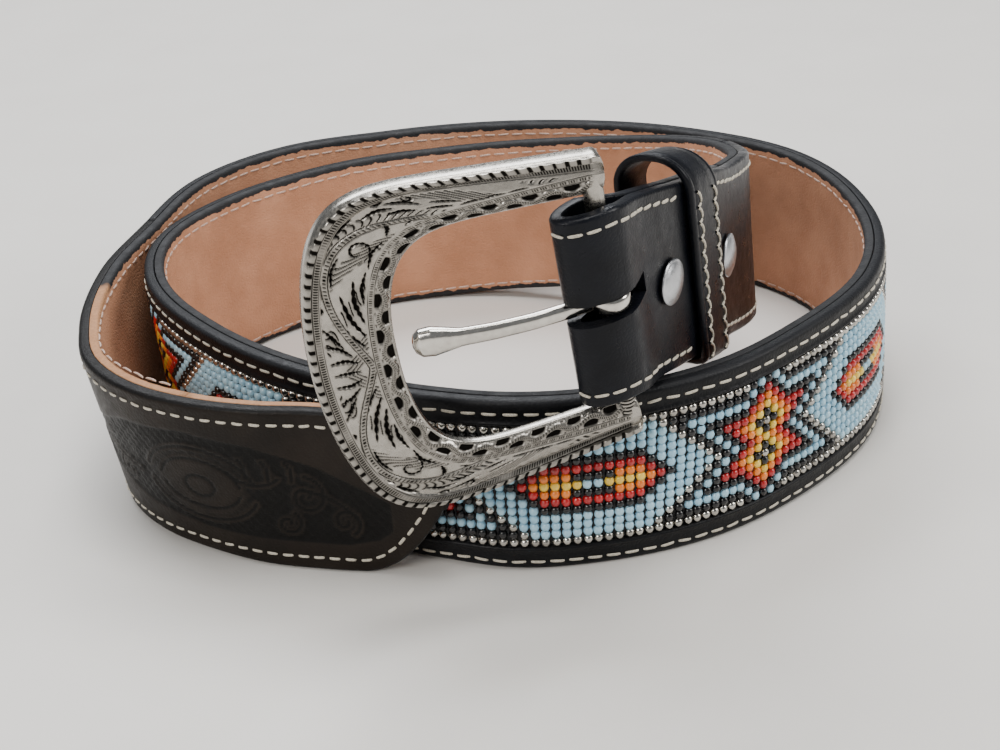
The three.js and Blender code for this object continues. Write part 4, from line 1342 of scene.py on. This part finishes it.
# reach, width, depth and bow of each section, as shares
PRONG = np.array([(PRONG_START, 0, 0.1, 0.05), (0.2, 0, 0.1, 0.5), (0.4, 0, 0.05, 0.95),
                  (0.6, 0.05, 0, 1.05), (0.76, 0.15, 0.1, 0.85), (0.83, 0.6, 0.5, 0.7),
                  (0.9, 1, 0.95, 0.55), (0.96, 0.85, 0.85, 0.45), (0.99, 0.15, 0.1, 0.4),
                  (1, -0.7, -0.7, 0.38)])


def prong_piece():
    """The prong's shank with its bulb, and the eye round the bar."""
    axes = turned_axes(FRAME_SWING + PRONG_SWING)
    fine = np.concatenate([np.linspace(PRONG_START, 0.8, 40), np.linspace(0.805, 0.985, 30),
                           np.linspace(0.988, 1, 8)])
    even = np.linspace(PRONG_START, 1, 400)
    width, depth, bow = (np.interp(even, PRONG[:, 0], PRONG[:, k]) for k in (1, 2, 3))
    window = 2 * BOW_SPREAD + 1
    bow = np.convolve(np.pad(bow, BOW_SPREAD, mode="edge"), np.ones(window) / window, mode="valid")
    width, depth, bow = (np.interp(fine, even, values)[:, None] for values in (width, depth, bow))
    width = (PRONG_WIDTH + (BULB_WIDTH - PRONG_WIDTH) * width) / 2
    depth = (PRONG_THICK + (BULB_THICK - PRONG_THICK) * depth) / 2
    a = circle(ROUND_SIDES)
    across, deep = (np.sign(v) * np.abs(v) ** SQUARENESS for v in (np.cos(a), np.sin(a)))
    x = np.repeat((fine * PRONG_LENGTH)[:, None], len(a), 1)
    local = np.stack([x, width * across, depth * deep + bow * PRONG_THICK], -1)
    keep(placed_loft("prong_shank", axes, local), polished_metal, body="prong")
    hole, wall, half = BAR_RADIUS + BAR_CLEARANCE, EYE_WALL, PRONG_WIDTH / 2
    section = [(hole, -half + 0.2), (hole + 0.2, -half), (hole + wall - 0.4, -half),
               (hole + wall, -half + 0.4)]
    section += [(r, -y) for r, y in section[::-1]]
    ring = np.array([[(r * math.cos(t), y, r * math.sin(t)) for r, y in section] for t in circle(48)])
    eye = placed_loft("prong_eye", axes, ring, closed_rows=True)
    keep(eye, polished_metal, body="prong", replaces=("buckle_prong",))


prong_piece()

# Floor, lights and camera
n = Nodes("pale_floor")
floor_tone = n.mix(n.noise(n.position(), 30.0), (0.60, 0.58, 0.55, 1), (0.66, 0.64, 0.61, 1))
floor = make_mesh("studio_floor", [(-4, -4, 0), (4, -4, 0), (4, 6, 0), (-4, 6, 0)], [(0, 1, 2, 3)])
floor.data.materials.append(n.finish(floor_tone, 0.6))

world = bpy.data.worlds.new("studio")
bpy.context.scene.world = world
world.use_nodes = True
background = world.node_tree.nodes["Background"]
background.inputs["Color"].default_value = (0.93, 0.96, 1.0, 1)
background.inputs["Strength"].default_value = 0.24


def area(name, place, size, power, tone):
    """A soft light that faces the belt."""
    light = bpy.data.lights.new(name, "AREA")
    light.shape = "RECTANGLE"
    light.size, light.size_y = size
    light.energy = power
    light.color = tone
    obj = bpy.data.objects.new(name, light)
    bpy.context.scene.collection.objects.link(obj)
    obj.location = place
    obj.rotation_euler = (Vector((0, 0, 0.03)) - Vector(place)).to_track_quat("-Z", "Y").to_euler()


area("window_light", (-0.25, 0.7, 0.95), (1.0, 0.5), 17.0, (0.95, 0.97, 1.0))
area("side_light", (0.85, -0.2, 0.55), (0.35, 0.6), 7.0, (1.0, 0.98, 0.95))
area("front_light", (-0.55, -0.75, 0.6), (0.4, 0.4), 6.5, (1.0, 0.97, 0.93))
area("top_light", (0.1, -0.05, 1.1), (0.5, 0.5), 9.0, (1.0, 0.99, 0.97))

CAMERA_PLACE = np.array([0.0, -361.0, 186.1]) + GROUP_SHIFT
CAMERA_PITCH = 26.9
CAMERA_ROLL = -2.97
SENSOR_WIDTH = 36.0
LENS_SHARE = 1.758
camera_data = bpy.data.cameras.new("camera")
camera_data.sensor_width = SENSOR_WIDTH
camera_data.lens = LENS_SHARE * SENSOR_WIDTH
camera_data.clip_start = 0.01
camera = bpy.data.objects.new("camera", camera_data)
bpy.context.scene.collection.objects.link(camera)
camera.matrix_world = (Matrix.Translation([float(v) * MM for v in CAMERA_PLACE])
                       @ Matrix.Rotation(math.radians(90 - CAMERA_PITCH), 4, "X")
                       @ Matrix.Rotation(math.radians(CAMERA_ROLL), 4, "Z"))
bpy.context.scene.camera = camera
